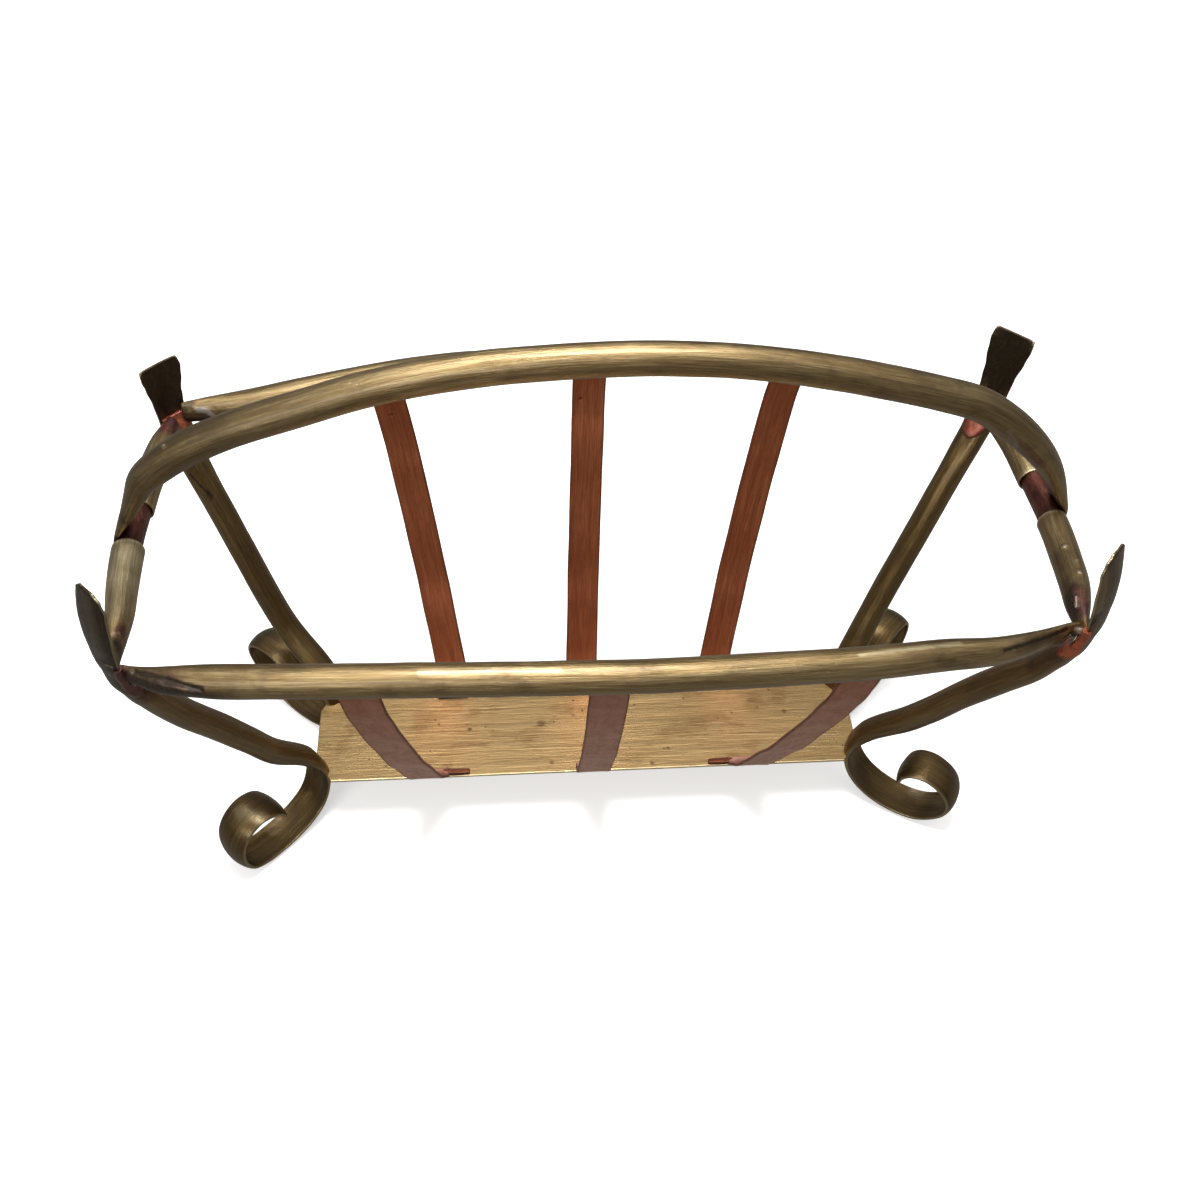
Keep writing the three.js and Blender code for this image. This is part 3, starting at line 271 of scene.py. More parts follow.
# marks on the metal: piece, points of a line, radius, dent depth, tint weights (heat, dark, solder, bright); the dark
# weight is real stain in some marks and painted shade in grooves in others, the bright weight is painted highlight
MARKS = [
    ("base_plate_sheet", [[-71.3, -1.0, 37.3]], 1.9, 0.1, (0,0.9,0,0)),
    ("base_plate_sheet", [[-28.2, 1.4, 37.4]], 2.6, 0.1, (0,0.8,0,0)),
    ("base_plate_sheet", [[-8.4, 6.5, 37.5]], 1.5, 0.1, (0,0.7,0,0)),
    ("base_plate_sheet", [[-120.7, -25.8, 37.3]], 1.3, 0.1, (0,0.9,0,0)),
    ("base_plate_sheet", [[-22.8, -28.6, 37.4]], 1.8, 0.1, (0,0.8,0,0)),
    ("base_plate_sheet", [[121.8, 3.2, 37.6]], 1.8, 0.1, (0,0.8,0,0)),
    ("base_plate_sheet", [[47.3, -21.0, 37.3]], 1.4, 0.1, (0,0.7,0,0)),
    ("base_plate_sheet", [[36.6, -31.5, 37.3]], 1.6, 0.1, (0,0.8,0,0)),
    ("base_plate_sheet", [[102.0, 12.9, 37.4], [109.3, 11.0, 37.5]], 2.4, 0.0, (0,0.35,0,0)),
    ("base_plate_sheet", [[87.2, -4.3, 37.5], [94.3, -6.2, 37.5]], 2.2, 0.0, (0,0.3,0,0)),
    ("base_plate_sheet", [[-86.6, 18.9, 37.4], [-78.6, 17.0, 37.4]], 2.0, 0.0, (0,0.3,0,0)),
    ("base_plate_sheet", [[17.8, -28.4, 37.3], [29.6, -30.4, 37.3]], 1.6, 0.0, (0,0.3,0,0)),
    ("base_plate_sheet", [[66.8, -19.8, 37.4]], 2.2, 0.0, (0,0.18,0,0)),
    ("end_rail_left_rear_tube", [[-225.6, 75.4, 213.9], [-222.2, 84.8, 211.6]], 7, 0.0, (0.9,0,0,0)),
    ("back_rail_tube", [[-212.8, 93.6, 211.2], [-207.5, 93.2, 210.7], [-204.2, 92.9, 208.0]], 3.2, -0.5, (0,0.1,1,0)),
    ("handle_tube", [[-204.1, -0.1, 265.3]], 2.2, -0.4, (0,0,1,0)),
    ("back_rail_tube", [[-219.2, 94.3, 212.2], [-215.7, 96.1, 214.8]], 3.0, 0, (0,0.7,0,0)),
    # painted shade in the dented crease of the leg
    ("leg_back_left_tube", [[-221.1, 79.4, 176.4], [-216.4, 76.5, 170.6], [-210.7, 73.7, 163.8]], 0.9, 0.6, (0,1,0,0)),
    ("leg_back_left_tube", [[-212.9, 75.0, 167.2], [-210.8, 73.2, 162.7]], 1.8, 0.3, (0,0.9,0,0)),
    ("strap_back_left_strip", [[-107.9, 100.1, 199.1]], 1.3, 0.9, (0,1,0,0)),
    ("strap_back_centre_strip", [[-0.7, 105.6, 203.4]], 1.3, 0.9, (0,1,0,0)),
    ("corner_lug_back_right_plate", [[220.0, 80.3, 198.0]], 4, 0, (0.5,0.2,0,0)),
    ("handle_tube", [[210.1, -2.3, 250.8], [220.7, -4.5, 243.2]], 6, 0, (0.55,0.15,0,0)),
    ("handle_tube", [[201.7, -6.6, 266.3], [207.9, -5.2, 256.0]], 4, -0.2, (0.2,0,0.75,0)),
    # painted highlight spot on the tube
    ("end_rail_right_rear_tube", [[235.9, 24.2, 211.6]], 5.5, 0, (0,0,0,0.35)),
    ("collar_right_sleeve", [[235.6, 10.6, 209.7]], 5, 0, (0.3,0.5,0,0)),
    ("end_rail_right_front_tube", [[235.6, -33.8, 213.6]], 2.2, -0.3, (0,0,1,0)),
    ("end_rail_right_front_tube", [[238.9, -44.9, 214.8]], 2.0, -0.3, (0,0,0.9,0)),
    ("end_rail_right_front_tube", [[236.8, -53.9, 215.5]], 2.6, -0.3, (0,0,1,0)),
    ("end_rail_right_front_tube", [[232.5, -38.6, 212.1], [229.9, -60.9, 214.0]], 7, 0, (0,0.45,0,0)),
    ("end_rail_right_front_tube", [[229.8, -66.6, 215.1], [230.3, -76.6, 215.9]], 6, 0, (0.85,0.25,0,0)),
    ("end_rail_right_front_tube", [[229.6, -70.1, 215.3], [228.2, -75.5, 214.0]], 1.2, -0.4, (0,0,1,0)),
    ("end_rail_right_front_tube", [[227.3, -68.5, 211.5], [227.1, -79.4, 210.5]], 4, 0, (0.5,0.7,0,0)),
    # painted shade along the groove where the rail meets the leg
    ("front_rail_tube", [[183.9, -104.8, 218.2], [203.6, -96.8, 215.6], [220.1, -88.9, 213.7]], 1.2, 0.5, (0,1,0,0)),
    ("front_rail_tube", [[192.1, -102.2, 216.9], [213.0, -93.0, 213.7]], 3.5, 0, (0.15,0.5,0,0)),
    ("leg_front_right_tube", [[213.0, -82.4, 179.5]], 4.5, 0, (0.3,0.55,0,0)),
    ("leg_front_right_tube", [[224.3, -97.8, 228.4]], 2.5, 0.3, (0.2,0.9,0,0)),
    # painted highlight on the finial face
    ("leg_front_right_tube", [[222.4, -94.1, 256.1], [224.9, -97.3, 236.1]], 4.0, 0, (0,-0.35,0,0.10)),
    ("leg_front_left_tube", [[-224.9, -95.2, 220.4], [-221.0, -97.2, 220.5]], 1.1, -0.4, (0,0,1,0)),
    ("end_rail_left_front_tube", [[-223.7, -68.2, 212.5]], 4, 0, (0.7,0.3,0,0)),
    ("end_rail_left_front_tube", [[-224.5, -70.2, 213.5], [-223.0, -76.4, 209.3]], 1.1, -0.2, (0.2,0,0.8,0)),
    ("end_rail_left_front_tube", [[-225.5, -75.9, 214.4], [-223.1, -82.6, 208.1]], 3.2, 0.3, (0,0.8,0,0)),
    # painted highlight on the finial face
    ("leg_front_left_tube", [[-224.1, -90.2, 257.1], [-224.6, -94.3, 242.3], [-225.1, -95.1, 226.5]], 4.0, 0, (0,-0.25,0,0.06)),
    ("front_rail_tube", [[-213.1, -98.5, 212.4], [-207.9, -101.2, 209.8]], 6, 0, (0.15,0.75,0,0)),
    # painted shade in the dented crack line
    ("front_rail_tube", [[-212.8, -96.2, 215.3], [-205.0, -99.5, 216.1], [-195.7, -103.3, 216.0], [-182.2, -107.6, 214.8]], 1.8, 0.9, (0,1,0,0)),
    ("front_rail_tube", [[-206.2, -101.9, 209.0], [-194.1, -105.6, 211.6]], 4, 0, (0.25,0.45,0,0)),
    # painted highlights on the upper side of the end rail
    ("end_rail_left_front_tube", [[-228.5, -19.5, 212.3]], 9, 0, (0,-0.3,0,0.28)),
    ("end_rail_left_front_tube", [[-235.8, -32.1, 212.3], [-226.6, -36.0, 212.5]], 8, 0, (0,-0.1,0,0.2)),
    ("handle_tube", [[-231.9, -6.1, 224.0]], 5, 0, (0.3,0.3,0,0)),
    ("handle_tube", [[-237.9, -6.7, 211.1]], 2.5, 0, (0,0.9,0,0)),
    # painted highlights on the scroll feet
    ("leg_front_left_tube", [[-200.2, -59.5, 45.8], [-187.6, -63.7, 45.2]], 5, 0, (0,-0.1,0,0.16)),
    ("leg_front_right_tube", [[200.7, -38.1, 4.4], [212.4, -49.8, 12.1]], 5, 0, (0,-0.1,0,0.16)),
    # painted highlight streaks along the top of the front rail
    ("front_rail_tube", [[-83.8, -112.7, 228.0], [-22.4, -116.0, 229.8]], 1.5, 0, (0,0,0,0.35)),
    ("front_rail_tube", [[113.0, -111.3, 226.9], [161.9, -103.2, 223.2]], 1.3, 0, (0,0,0,0.4)),
    ("front_rail_tube", [[-222.0, -96.0, 207.0], [-210.0, -101.0, 206.0]], 8.5, 0.0, (0.35, 0.75, 0, 0)),
    ("front_rail_tube", [[-205.0, -103.0, 205.5], [-188.0, -107.0, 206.5]], 3.6, 0.0, (0.10, 0.70, 0, 0)),
    ("leg_front_left_tube", [[-222.0, -92.0, 203.0], [-216.0, -88.0, 192.0]], 9.0, 0.0, (0.35, 0.70, 0, 0)),
    ("leg_front_left_tube", [[-226.0, -92.0, 214.0], [-226.0, -88.0, 206.0]], 8.0, 0.0, (0.15, 0.75, 0, 0)),
    ("leg_front_right_tube", [[230.0, -92.0, 213.0], [226.0, -90.0, 206.0]], 6.5, 0.0, (0.25, 0.55, 0, 0)),
    ("leg_front_right_tube", [[219.0, -88.0, 196.0], [214.0, -84.0, 186.0]], 7.0, 0.0, (0.15, 0.55, 0, 0)),
    ("leg_back_left_tube", [[-228.0, 95.0, 212.0], [-222.0, 90.0, 200.0]], 9.0, 0.0, (0.55, 0.35, 0, 0)),
    ("leg_back_right_tube", [[226.0, 88.0, 210.0], [218.0, 84.0, 196.0]], 8.0, 0.0, (0.30, 0.35, 0, 0)),
    ("back_rail_tube", [[-220.0, 94.0, 203.0], [-198.0, 94.0, 204.0]], 7.0, 0.0, (0.30, 0.65, 0, 0)),
    ("end_rail_right_front_tube", [[229.0, -88.0, 210.0], [232.0, -66.0, 209.0]], 9.0, 0.0, (0.35, 0.45, 0, 0)),
    ("end_rail_left_front_tube", [[-225.0, -88.0, 209.0], [-227.0, -72.0, 208.0]], 8.0, 0.0, (0.40, 0.40, 0, 0)),
    # painted highlight along the end rail
    ("end_rail_left_front_tube", [[-229.0, -52.0, 210.0], [-232.0, -14.0, 212.0]], 12.0, 0.0, (0, 0, 0, 0.22)),
]


def paint(name, P, out, t):
    P, t = P.copy(), t.copy()
    for who, pts, r, depth, tint in MARKS:
        if not name.startswith(who):
            continue
        pts = np.array(pts, float)
        d = np.full(len(P), 1e9)
        if len(pts) == 1:
            d = np.linalg.norm(P - pts[0], axis=1)
        for a, b in zip(pts[:-1], pts[1:]):
            ab = b - a
            q = np.clip((P - a) @ ab / (ab @ ab), 0, 1)
            d = np.minimum(d, np.linalg.norm(P - (a + q[:, None] * ab), axis=1))
        near = d < r * 1.6
        if not near.any():
            continue
        jig = np.ones(len(P))
        idx = np.nonzero(near)[0]
        jig[idx] = [1 + 0.35 * noise.noise(Vector(P[i] * 0.22)) + 0.2 * noise.noise(Vector(P[i] * 0.9)) for i in idx]
        f = smooth(1.25 - d / (r * jig))
        P -= out * (depth * f)[:, None]
        t = np.maximum(t + f[:, None] * (np.array(tint) * np.array([1, 1, 0.6 if tint[2] > 0 else 1, 1]))[None], 0)
    return P, t


# ------------------------------------------------------------------ materials
def metal(name, dark, mid, light, rough=0.34, streak=1.0, heat=((0.20, 0.045, 0.03), (0.10, 0.035, 0.05)), tarnish_and_shade=(0.035, 0.024, 0.014),
          solder=(0.40, 0.365, 0.32), bright=(0.9, 0.80, 0.52), blotch=0.5, scratch=0.5, long=0.012, fine=1.5, wide=0.33, pits=0.0, mottle=(0.10, 0.066, 0.034), coat=0.25):
    m = bpy.data.materials.new(name)
    m.use_nodes = True
    nt = m.node_tree
    N, L = nt.nodes, nt.links
    bs = N["Principled BSDF"]
    bs.inputs["Metallic"].default_value = 1.0
    bs.inputs["Coat Weight"].default_value = coat
    bs.inputs["Coat Roughness"].default_value = 0.32
    grain = N.new("ShaderNodeAttribute"); grain.attribute_name = "grain"
    tint = N.new("ShaderNodeAttribute"); tint.attribute_name = "tint"
    sep = N.new("ShaderNodeSeparateColor")
    L.new(tint.outputs["Color"], sep.inputs[0])

    def mapped(scale, loc=(0, 0, 0)):
        n = N.new("ShaderNodeMapping")
        n.inputs["Scale"].default_value = scale
        n.inputs["Location"].default_value = loc
        L.new(grain.outputs["Vector"], n.inputs["Vector"])
        return n.outputs[0]

    def tex(vec, scale=1.0, detail=5, roughness=0.6, distortion=0.0):
        n = N.new("ShaderNodeTexNoise")
        n.inputs["Scale"].default_value = scale
        n.inputs["Detail"].default_value = detail
        n.inputs["Roughness"].default_value = roughness
        n.inputs["Distortion"].default_value = distortion
        L.new(vec, n.inputs["Vector"])
        return n.outputs[0]

    def math_(op, a, b=None, clamp=False):
        n = N.new("ShaderNodeMath"); n.operation = op; n.use_clamp = clamp
        for i, x in enumerate((a, b)):
            if x is None:
                continue
            if isinstance(x, (int, float)):
                n.inputs[i].default_value = x
            else:
                L.new(x, n.inputs[i])
        return n.outputs[0]

    def ramp(fac, stops):
        n = N.new("ShaderNodeValToRGB")
        els = n.color_ramp.elements
        while len(els) < len(stops):
            els.new(0.5)
        for e, (p, c) in zip(els, stops):
            e.position = p
            e.color = (*c, 1) if len(c) == 3 else c
        L.new(fac, n.inputs[0])
        return n.outputs[0]

    def mix(fac, a, b):
        n = N.new("ShaderNodeMix"); n.data_type = "RGBA"
        for i, x in ((0, fac), (6, a), (7, b)):
            if isinstance(x, tuple):
                n.inputs[i].default_value = (*x, 1)
            elif isinstance(x, (int, float)):
                n.inputs[i].default_value = x
            else:
                L.new(x, n.inputs[i])
        return n.outputs[2]

    def level(x, lo_, hi_):
        n = N.new("ShaderNodeMapRange"); n.interpolation_type = "SMOOTHSTEP"
        n.inputs["From Min"].default_value = lo_
        n.inputs["From Max"].default_value = hi_
        L.new(x, n.inputs["Value"])
        return n.outputs[0]

    s1 = tex(mapped((long, wide, wide)), 1, 6, 0.62, 0.5)
    s2 = tex(mapped((long * 4.5, fine, fine), (3, 7, 1)), 1, 4, 0.6, 0.3)
    s3 = tex(mapped((0.035, 0.055, 0.055), (9, 1, 4)), 1, 5, 0.6, 0.4)
    s4 = tex(mapped((0.35, 0.5, 0.5), (2, 8, 3)), 1, 5, 0.65)
    f = math_("ADD", math_("MULTIPLY", s1, 0.52), math_("MULTIPLY", s2, 0.48))
    f = math_("ADD", math_("MULTIPLY", math_("SUBTRACT", f, 0.5), 2.5 * streak), 0.5, True)
    col = ramp(f, [(0.0, dark), (0.48, mid), (1.0, light)])
    col = mix(math_("MULTIPLY", level(s3, 0.50, 0.68), blotch), col, mottle)
    col = mix(math_("MULTIPLY", level(s4, 0.60, 0.74), 0.55 * blotch), col, tarnish_and_shade)
    # heat colours: copper red to purple, broken up by oxide
    hn = tex(mapped((0.10, 0.14, 0.14), (5, 5, 5)), 1, 6, 0.65, 0.8)
    heatcol = mix(level(hn, 0.42, 0.62), tuple(heat[0]), tuple(heat[1]))
    hfac = math_("MULTIPLY", sep.outputs[0], math_("ADD", math_("MULTIPLY", level(s4, 0.30, 0.62), 0.55), 0.55), True)
    col = mix(hfac, col, heatcol)
    # dark tint: real tarnish and dark joints in some places, painted shade on undersides, creases and hollows in others
    dfac = math_("MULTIPLY", sep.outputs[1], math_("ADD", math_("MULTIPLY", s4, 0.8), 0.55), True)
    col = mix(dfac, col, tarnish_and_shade)
    sfac = level(math_("MULTIPLY", sep.outputs[2], math_("ADD", s4, 0.55)), 0.35, 0.75)
    col = mix(sfac, col, solder)
    # bright tint: painted highlights on tube tops, rims and edges
    bfac = math_("MULTIPLY", tint.outputs["Alpha"], math_("ADD", math_("MULTIPLY", s2, 1.0), 0.35), True)
    col = mix(bfac, col, bright)
    if pits:
        vp = N.new("ShaderNodeTexVoronoi"); vp.inputs["Scale"].default_value = 0.13
        L.new(mapped((1, 1, 1)), vp.inputs["Vector"])
        spot = math_("MULTIPLY", math_("SUBTRACT", 1.0, level(vp.outputs["Distance"], 0.07, 0.12)), pits)
        col = mix(math_("MULTIPLY", spot, level(s3, 0.45, 0.55)), col, tarnish_and_shade)
    L.new(col, bs.inputs["Base Color"])
    r = math_("ADD", math_("MULTIPLY", math_("SUBTRACT", s4, 0.5), 0.30), rough)
    r = math_("ADD", r, math_("MULTIPLY", math_("SUBTRACT", s2, 0.5), 0.28))
    r = math_("ADD", r, math_("MULTIPLY", math_("ADD", dfac, hfac), 0.10), True)
    L.new(r, bs.inputs["Roughness"])
    b1 = N.new("ShaderNodeBump")
    b1.inputs["Strength"].default_value = scratch
    b1.inputs["Distance"].default_value = 0.0004
    hgt = math_("ADD", math_("MULTIPLY", s2, 1.0), math_("MULTIPLY", s4, 0.6))
    hgt = math_("ADD", hgt, math_("MULTIPLY", sfac, 0.9))
    L.new(hgt, b1.inputs["Height"])
    b2 = N.new("ShaderNodeBump")
    b2.inputs["Strength"].default_value = 0.35
    b2.inputs["Distance"].default_value = 0.0012
    L.new(s1, b2.inputs["Height"])
    L.new(b1.outputs[0], b2.inputs["Normal"])
    L.new(b2.outputs[0], bs.inputs["Normal"])
    return m


aged = metal("aged_brass", (0.072, 0.043, 0.015), (0.252, 0.172, 0.072), (0.49, 0.39, 0.215), rough=0.40, streak=0.78, wide=0.45, fine=2.2, coat=0.4)
leg_brass = metal("dark_brass", (0.050, 0.029, 0.010), (0.150, 0.095, 0.033), (0.31, 0.215, 0.090), rough=0.37, streak=0.72, wide=0.45, fine=2.2, coat=0.25)
sheet = metal("sheet_brass", (0.21, 0.130, 0.052), (0.350, 0.235, 0.104), (0.47, 0.36, 0.195), rough=0.42, streak=0.30, blotch=0.9, scratch=0.28,
              long=0.012, fine=1.5, wide=0.22, pits=0.9, tarnish_and_shade=(0.085, 0.048, 0.022), mottle=(0.25, 0.155, 0.066), coat=0.1)
copper = metal("copper_strap", (0.20, 0.058, 0.024), (0.345, 0.108, 0.045), (0.50, 0.19, 0.095), rough=0.46, streak=0.7, blotch=0.4,
               heat=((0.56, 0.33, 0.25), (0.43, 0.235, 0.175)), mottle=(0.24, 0.072, 0.035), scratch=0.35, bright=(0.5, 0.3, 0.2), tarnish_and_shade=(0.060, 0.022, 0.014), coat=0.1)
dark_copper = metal("dark_copper", (0.050, 0.017, 0.013), (0.150, 0.045, 0.032), (0.34, 0.14, 0.09), rough=0.45, streak=1.0, long=0.06, wide=0.2, blotch=0.5,
                    mottle=(0.085, 0.034, 0.038), tarnish_and_shade=(0.026, 0.014, 0.012))
lug_copper = metal("lug_copper", (0.060, 0.024, 0.022), (0.150, 0.060, 0.055), (0.30, 0.16, 0.15), rough=0.42, streak=0.9, long=0.08, wide=0.2, blotch=0.6,
                   heat=((0.50, 0.14, 0.06), (0.28, 0.078, 0.048)), mottle=(0.085, 0.036, 0.045), tarnish_and_shade=(0.034, 0.017, 0.016))
rivet_metal = metal("rivet_metal", (0.13, 0.125, 0.10), (0.27, 0.265, 0.22), (0.45, 0.44, 0.38), rough=0.42, streak=0.8, long=0.3, wide=0.5, blotch=0.3)
solder_metal = metal("solder_metal", (0.34, 0.32, 0.28), (0.60, 0.58, 0.52), (0.85, 0.84, 0.78), rough=0.38, streak=1.0, long=0.3, wide=0.5, blotch=0.3)


# ------------------------------------------------------------------ legs
def leg_data(name):
    L = LEGS[name]
    out = lambda deg: np.array([L["sx"] * math.cos(deg * rad), L["sy"] * math.sin(deg * rad), 0.0])
    def wide(o):
        w = np.array([-o[1], o[0], 0.0])
        return w if w[1] < 0 else -w
    oT, oB = out(L["rim"]), out(L["foot"])
    wB, wT, wF = wide(oB), wide(oT), wide(out(L["face"]))
    O = np.array([L["sx"] * CLIP_MID[0], L["sy"] * CLIP_MID[1], 0.0])
    OB = O + wB * L["shift"]
    rows = []
    for r, z in L["run"]:
        t = smooth((z - 60) / 60)
        p = (O + oT * r) * t + (OB + oB * r) * (1 - t)
        f = smooth((z - 180) / 30)
        w = unit((wB * (1 - t) + wT * t) * (1 - f) + wF * f)
        rows.append([p[0], p[1], z, *w])
    for r, z in L["scroll"]:
        p = OB + oB * r
        rows.append([p[0], p[1], z, *wB])
    cv, k = curve(rows, 420)
    hand = L["sx"]
    n, mid, belly = len(L["run"]), (L["band0"] + L["band1"]) / 2, L["belly"]
    keys = [
        [0, L["tip"] * L["round"], 0.9, 0.5, 0.9], [k[1] * 0.14, L["tip"] * (0.50 + 0.50 * L["round"]), 0.9, 1.3, 0.9],
        [k[1] * 0.42, L["tip"] * (0.84 + 0.16 * L["round"]), 0.9, 2.4, 0.9], [k[1], belly[0], 1.0, 3.0, 0.9], [k[2], belly[1], 1.2, 2.5, 0.8], [k[3], belly[2], 1.8, 1.6, 0.6],
        [k[4], 17.5, 4.4, 0.4, 0.3], [k[5], 16.4, 6.4, 0, 0.1], [k[7], 15, 7.5, 0, 0], [k[n - 1], 15.2, 7.2, 0, 0],
        [k[n], 16.4, 5.6, -0.4, 0.1], [k[n + 1], L["band0"] * 0.95, 3.2, -1.4, 0.4], [k[n + 3], L["band0"], 1.7, -2.4, 0.8],
        [k[n + 9], mid, 1.4, -2.2, 0.9], [1, L["band1"] + 1.5, 1.1, -1.8, 0.9]]
    c = cv[:, :3].copy()
    T, W, N = frames(c, cv[:, 3:6], hand)
    K = keyed(keys, np.linspace(0, 1, 420))
    R = ring(K[:, 0], K[:, 1], K[:, 2], K[:, 3], 12)
    for _ in range(3):
        low = (c[:, None, 2] + W[:, None, 2] * R[..., 0] + N[:, None, 2] * R[..., 1]).min()
        c[:, 2] -= low * (1 - smooth(c[:, 2] / 120))
    return dict(c=c, T=T, W=W, N=N, K=K, k=k, hand=hand, n=n)


FIN_DARK = {"front_left": 1.25, "front_right": 0.62, "back_left": 0.75, "back_right": 0.85}
LD = {k: leg_data(k) for k in LEGS}
for i, (name, D) in enumerate(LD.items()):
    K = D["K"]
    R = ring(K[:, 0], K[:, 1], K[:, 2], K[:, 3], 56)
    u = np.linspace(0, 1, 420)
    k = D["k"]
    # crease where the tube is pinched flat, on the inner face
    a = 2 * np.pi * np.arange(56) / 56
    inner = np.exp(-((a - np.pi / 2) / 0.30) ** 2)[None, :]
    pinch = (smooth((u - k[1]) / (k[3] - k[1])) * (1 - smooth((u - k[4]) / (k[6] - k[4]))))[:, None]
    outer = np.exp(-((a - 3 * np.pi / 2) / 0.34) ** 2)[None, :]
    n = D["n"]
    foot = (smooth((u - k[n - 1]) / (k[n + 1] - k[n - 1])) * (1 - smooth((u - k[n + 2]) / (k[n + 5] - k[n + 2]))))[:, None]
    R[..., 1] -= inner * pinch * 1.3
    R[..., 1] += outer * foot * 0.9
    sk = Skin(D["c"], D["T"], D["W"], D["N"], R, hand=D["hand"], ends=(0.7, 0.7), wobble=0.22, seed=i + 1)
    uu = np.r_[[0] * 3, u, [1] * 3]
    fin = 1 - smooth((uu - k[2]) / (k[4] - k[2]))
    t = sk.tint.reshape(sk.n, sk.s, 4)
    v = np.sin(a)[None, :]
    t[..., 1] += fin[:, None] * (FIN_DARK[name] + 0.15 * (v > 0.3))                          # finials are darkest, most of all inside
    # painted highlights on the rim of the finial tip and along the finial's edges
    tip = 1 - smooth(uu / (k[1] * 0.16))
    t[..., 3] += 0.30 * tip[:, None] * (np.abs(v) < 0.5)
    t[..., 3] += 0.28 * fin[:, None] * (np.abs(np.cos(a))[None, :] > 0.985)
    # painted shade along the pinched crease on the inner face
    t[..., 1] += pinch[np.clip(np.arange(sk.n) - 3, 0, 419)] * inner * 0.6
    # painted highlight along the edges of the scroll band
    scroll = smooth((uu - k[n]) / (k[n + 2] - k[n]))[:, None]
    t[..., 3] += 0.16 * scroll * smooth((np.abs(np.cos(a))[None, :] - 0.93) / 0.05)
    # painted shade on the inner face of the scroll
    t[..., 1] += 0.35 * scroll * (v > 0.2) * smooth((uu[:, None] - k[n + 1]) / 0.05) * (1 - smooth((uu[:, None] - k[n + 11]) / 0.1))
    build("leg_" + name + "_tube", [sk], leg_brass, ["leg_" + name])


# ------------------------------------------------------------------ rails, collars, handle
def rail_data(rows, n):
    cv, _ = curve(rows, n)
    c = cv[:, :3]
    T, W, N = frames(c, np.tile([0, 0, 1.0], (n, 1)))
    return dict(c=c, T=T, W=W, N=N, up=cv[:, 3], out=cv[:, 4])


def rail_rings(D, sides=56, less=0.0, pinch=None):
    R = ring(2 * (D["up"] - less), D["out"] - less, 0, 0, sides)
    return R


FR, BR = rail_data(FRONT_RAIL + [[230.5, -83.8, 209.4, 2.4, 2.0]], 520), rail_data(BACK_RAIL, 520)
for name, D, seed in (("front_rail", FR, 11), ("back_rail", BR, 12)):
    R = rail_rings(D)
    a = 2 * np.pi * np.arange(56) / 56
    x = np.abs(D["c"][:, 0])
    end = smooth((x - 150) / 55)[:, None]
    face = np.exp(-((np.angle(np.exp(1j * (a - 3.60)))) / 0.34) ** 2)[None, :]
    R = R * (1 - 0.10 * end * face)[..., None]
    sk = Skin(D["c"], D["T"], D["W"], D["N"], R, ends=(0.8, 0.8), wobble=0.20, seed=seed)
    t = sk.tint.reshape(sk.n, sk.s, 4)
    # painted shade on the squashed lower face at the rail ends
    t[3:-3, :, 1] += 0.45 * end * face
    # painted shade along the underside of each rail
    t[..., 1] += (0.75 if name == "front_rail" else 0.50) * smooth((-np.cos(a) - 0.15) / 0.5)[None, :]
    if name == "front_rail":                                                # scorched and stained where it meets the left leg
        left = smooth((-160 - D["c"][:, 0]) / 24)[:, None] * np.exp(-((a - 1.75) / 0.60) ** 2)[None, :]
        left = np.maximum(left, smooth((-184 - D["c"][:, 0]) / 14)[:, None] * np.exp(-((a - 1.1) / 1.2) ** 2)[None, :])
        t[3:-3, :, 0] += 0.50 * left
        t[3:-3, :, 1] += 1.15 * left
    build(name + "_tube", [sk], aged, [name])

SIDE = {"left": rail_data(LEFT_RAIL, 200), "right": rail_data(RIGHT_RAIL, 200)}


def at_y(D, y):
    return int(np.argmin(np.abs(D["c"][:, 1] - y)))


def cutD(D, idx):
    return {k: v[idx] for k, v in D.items()}


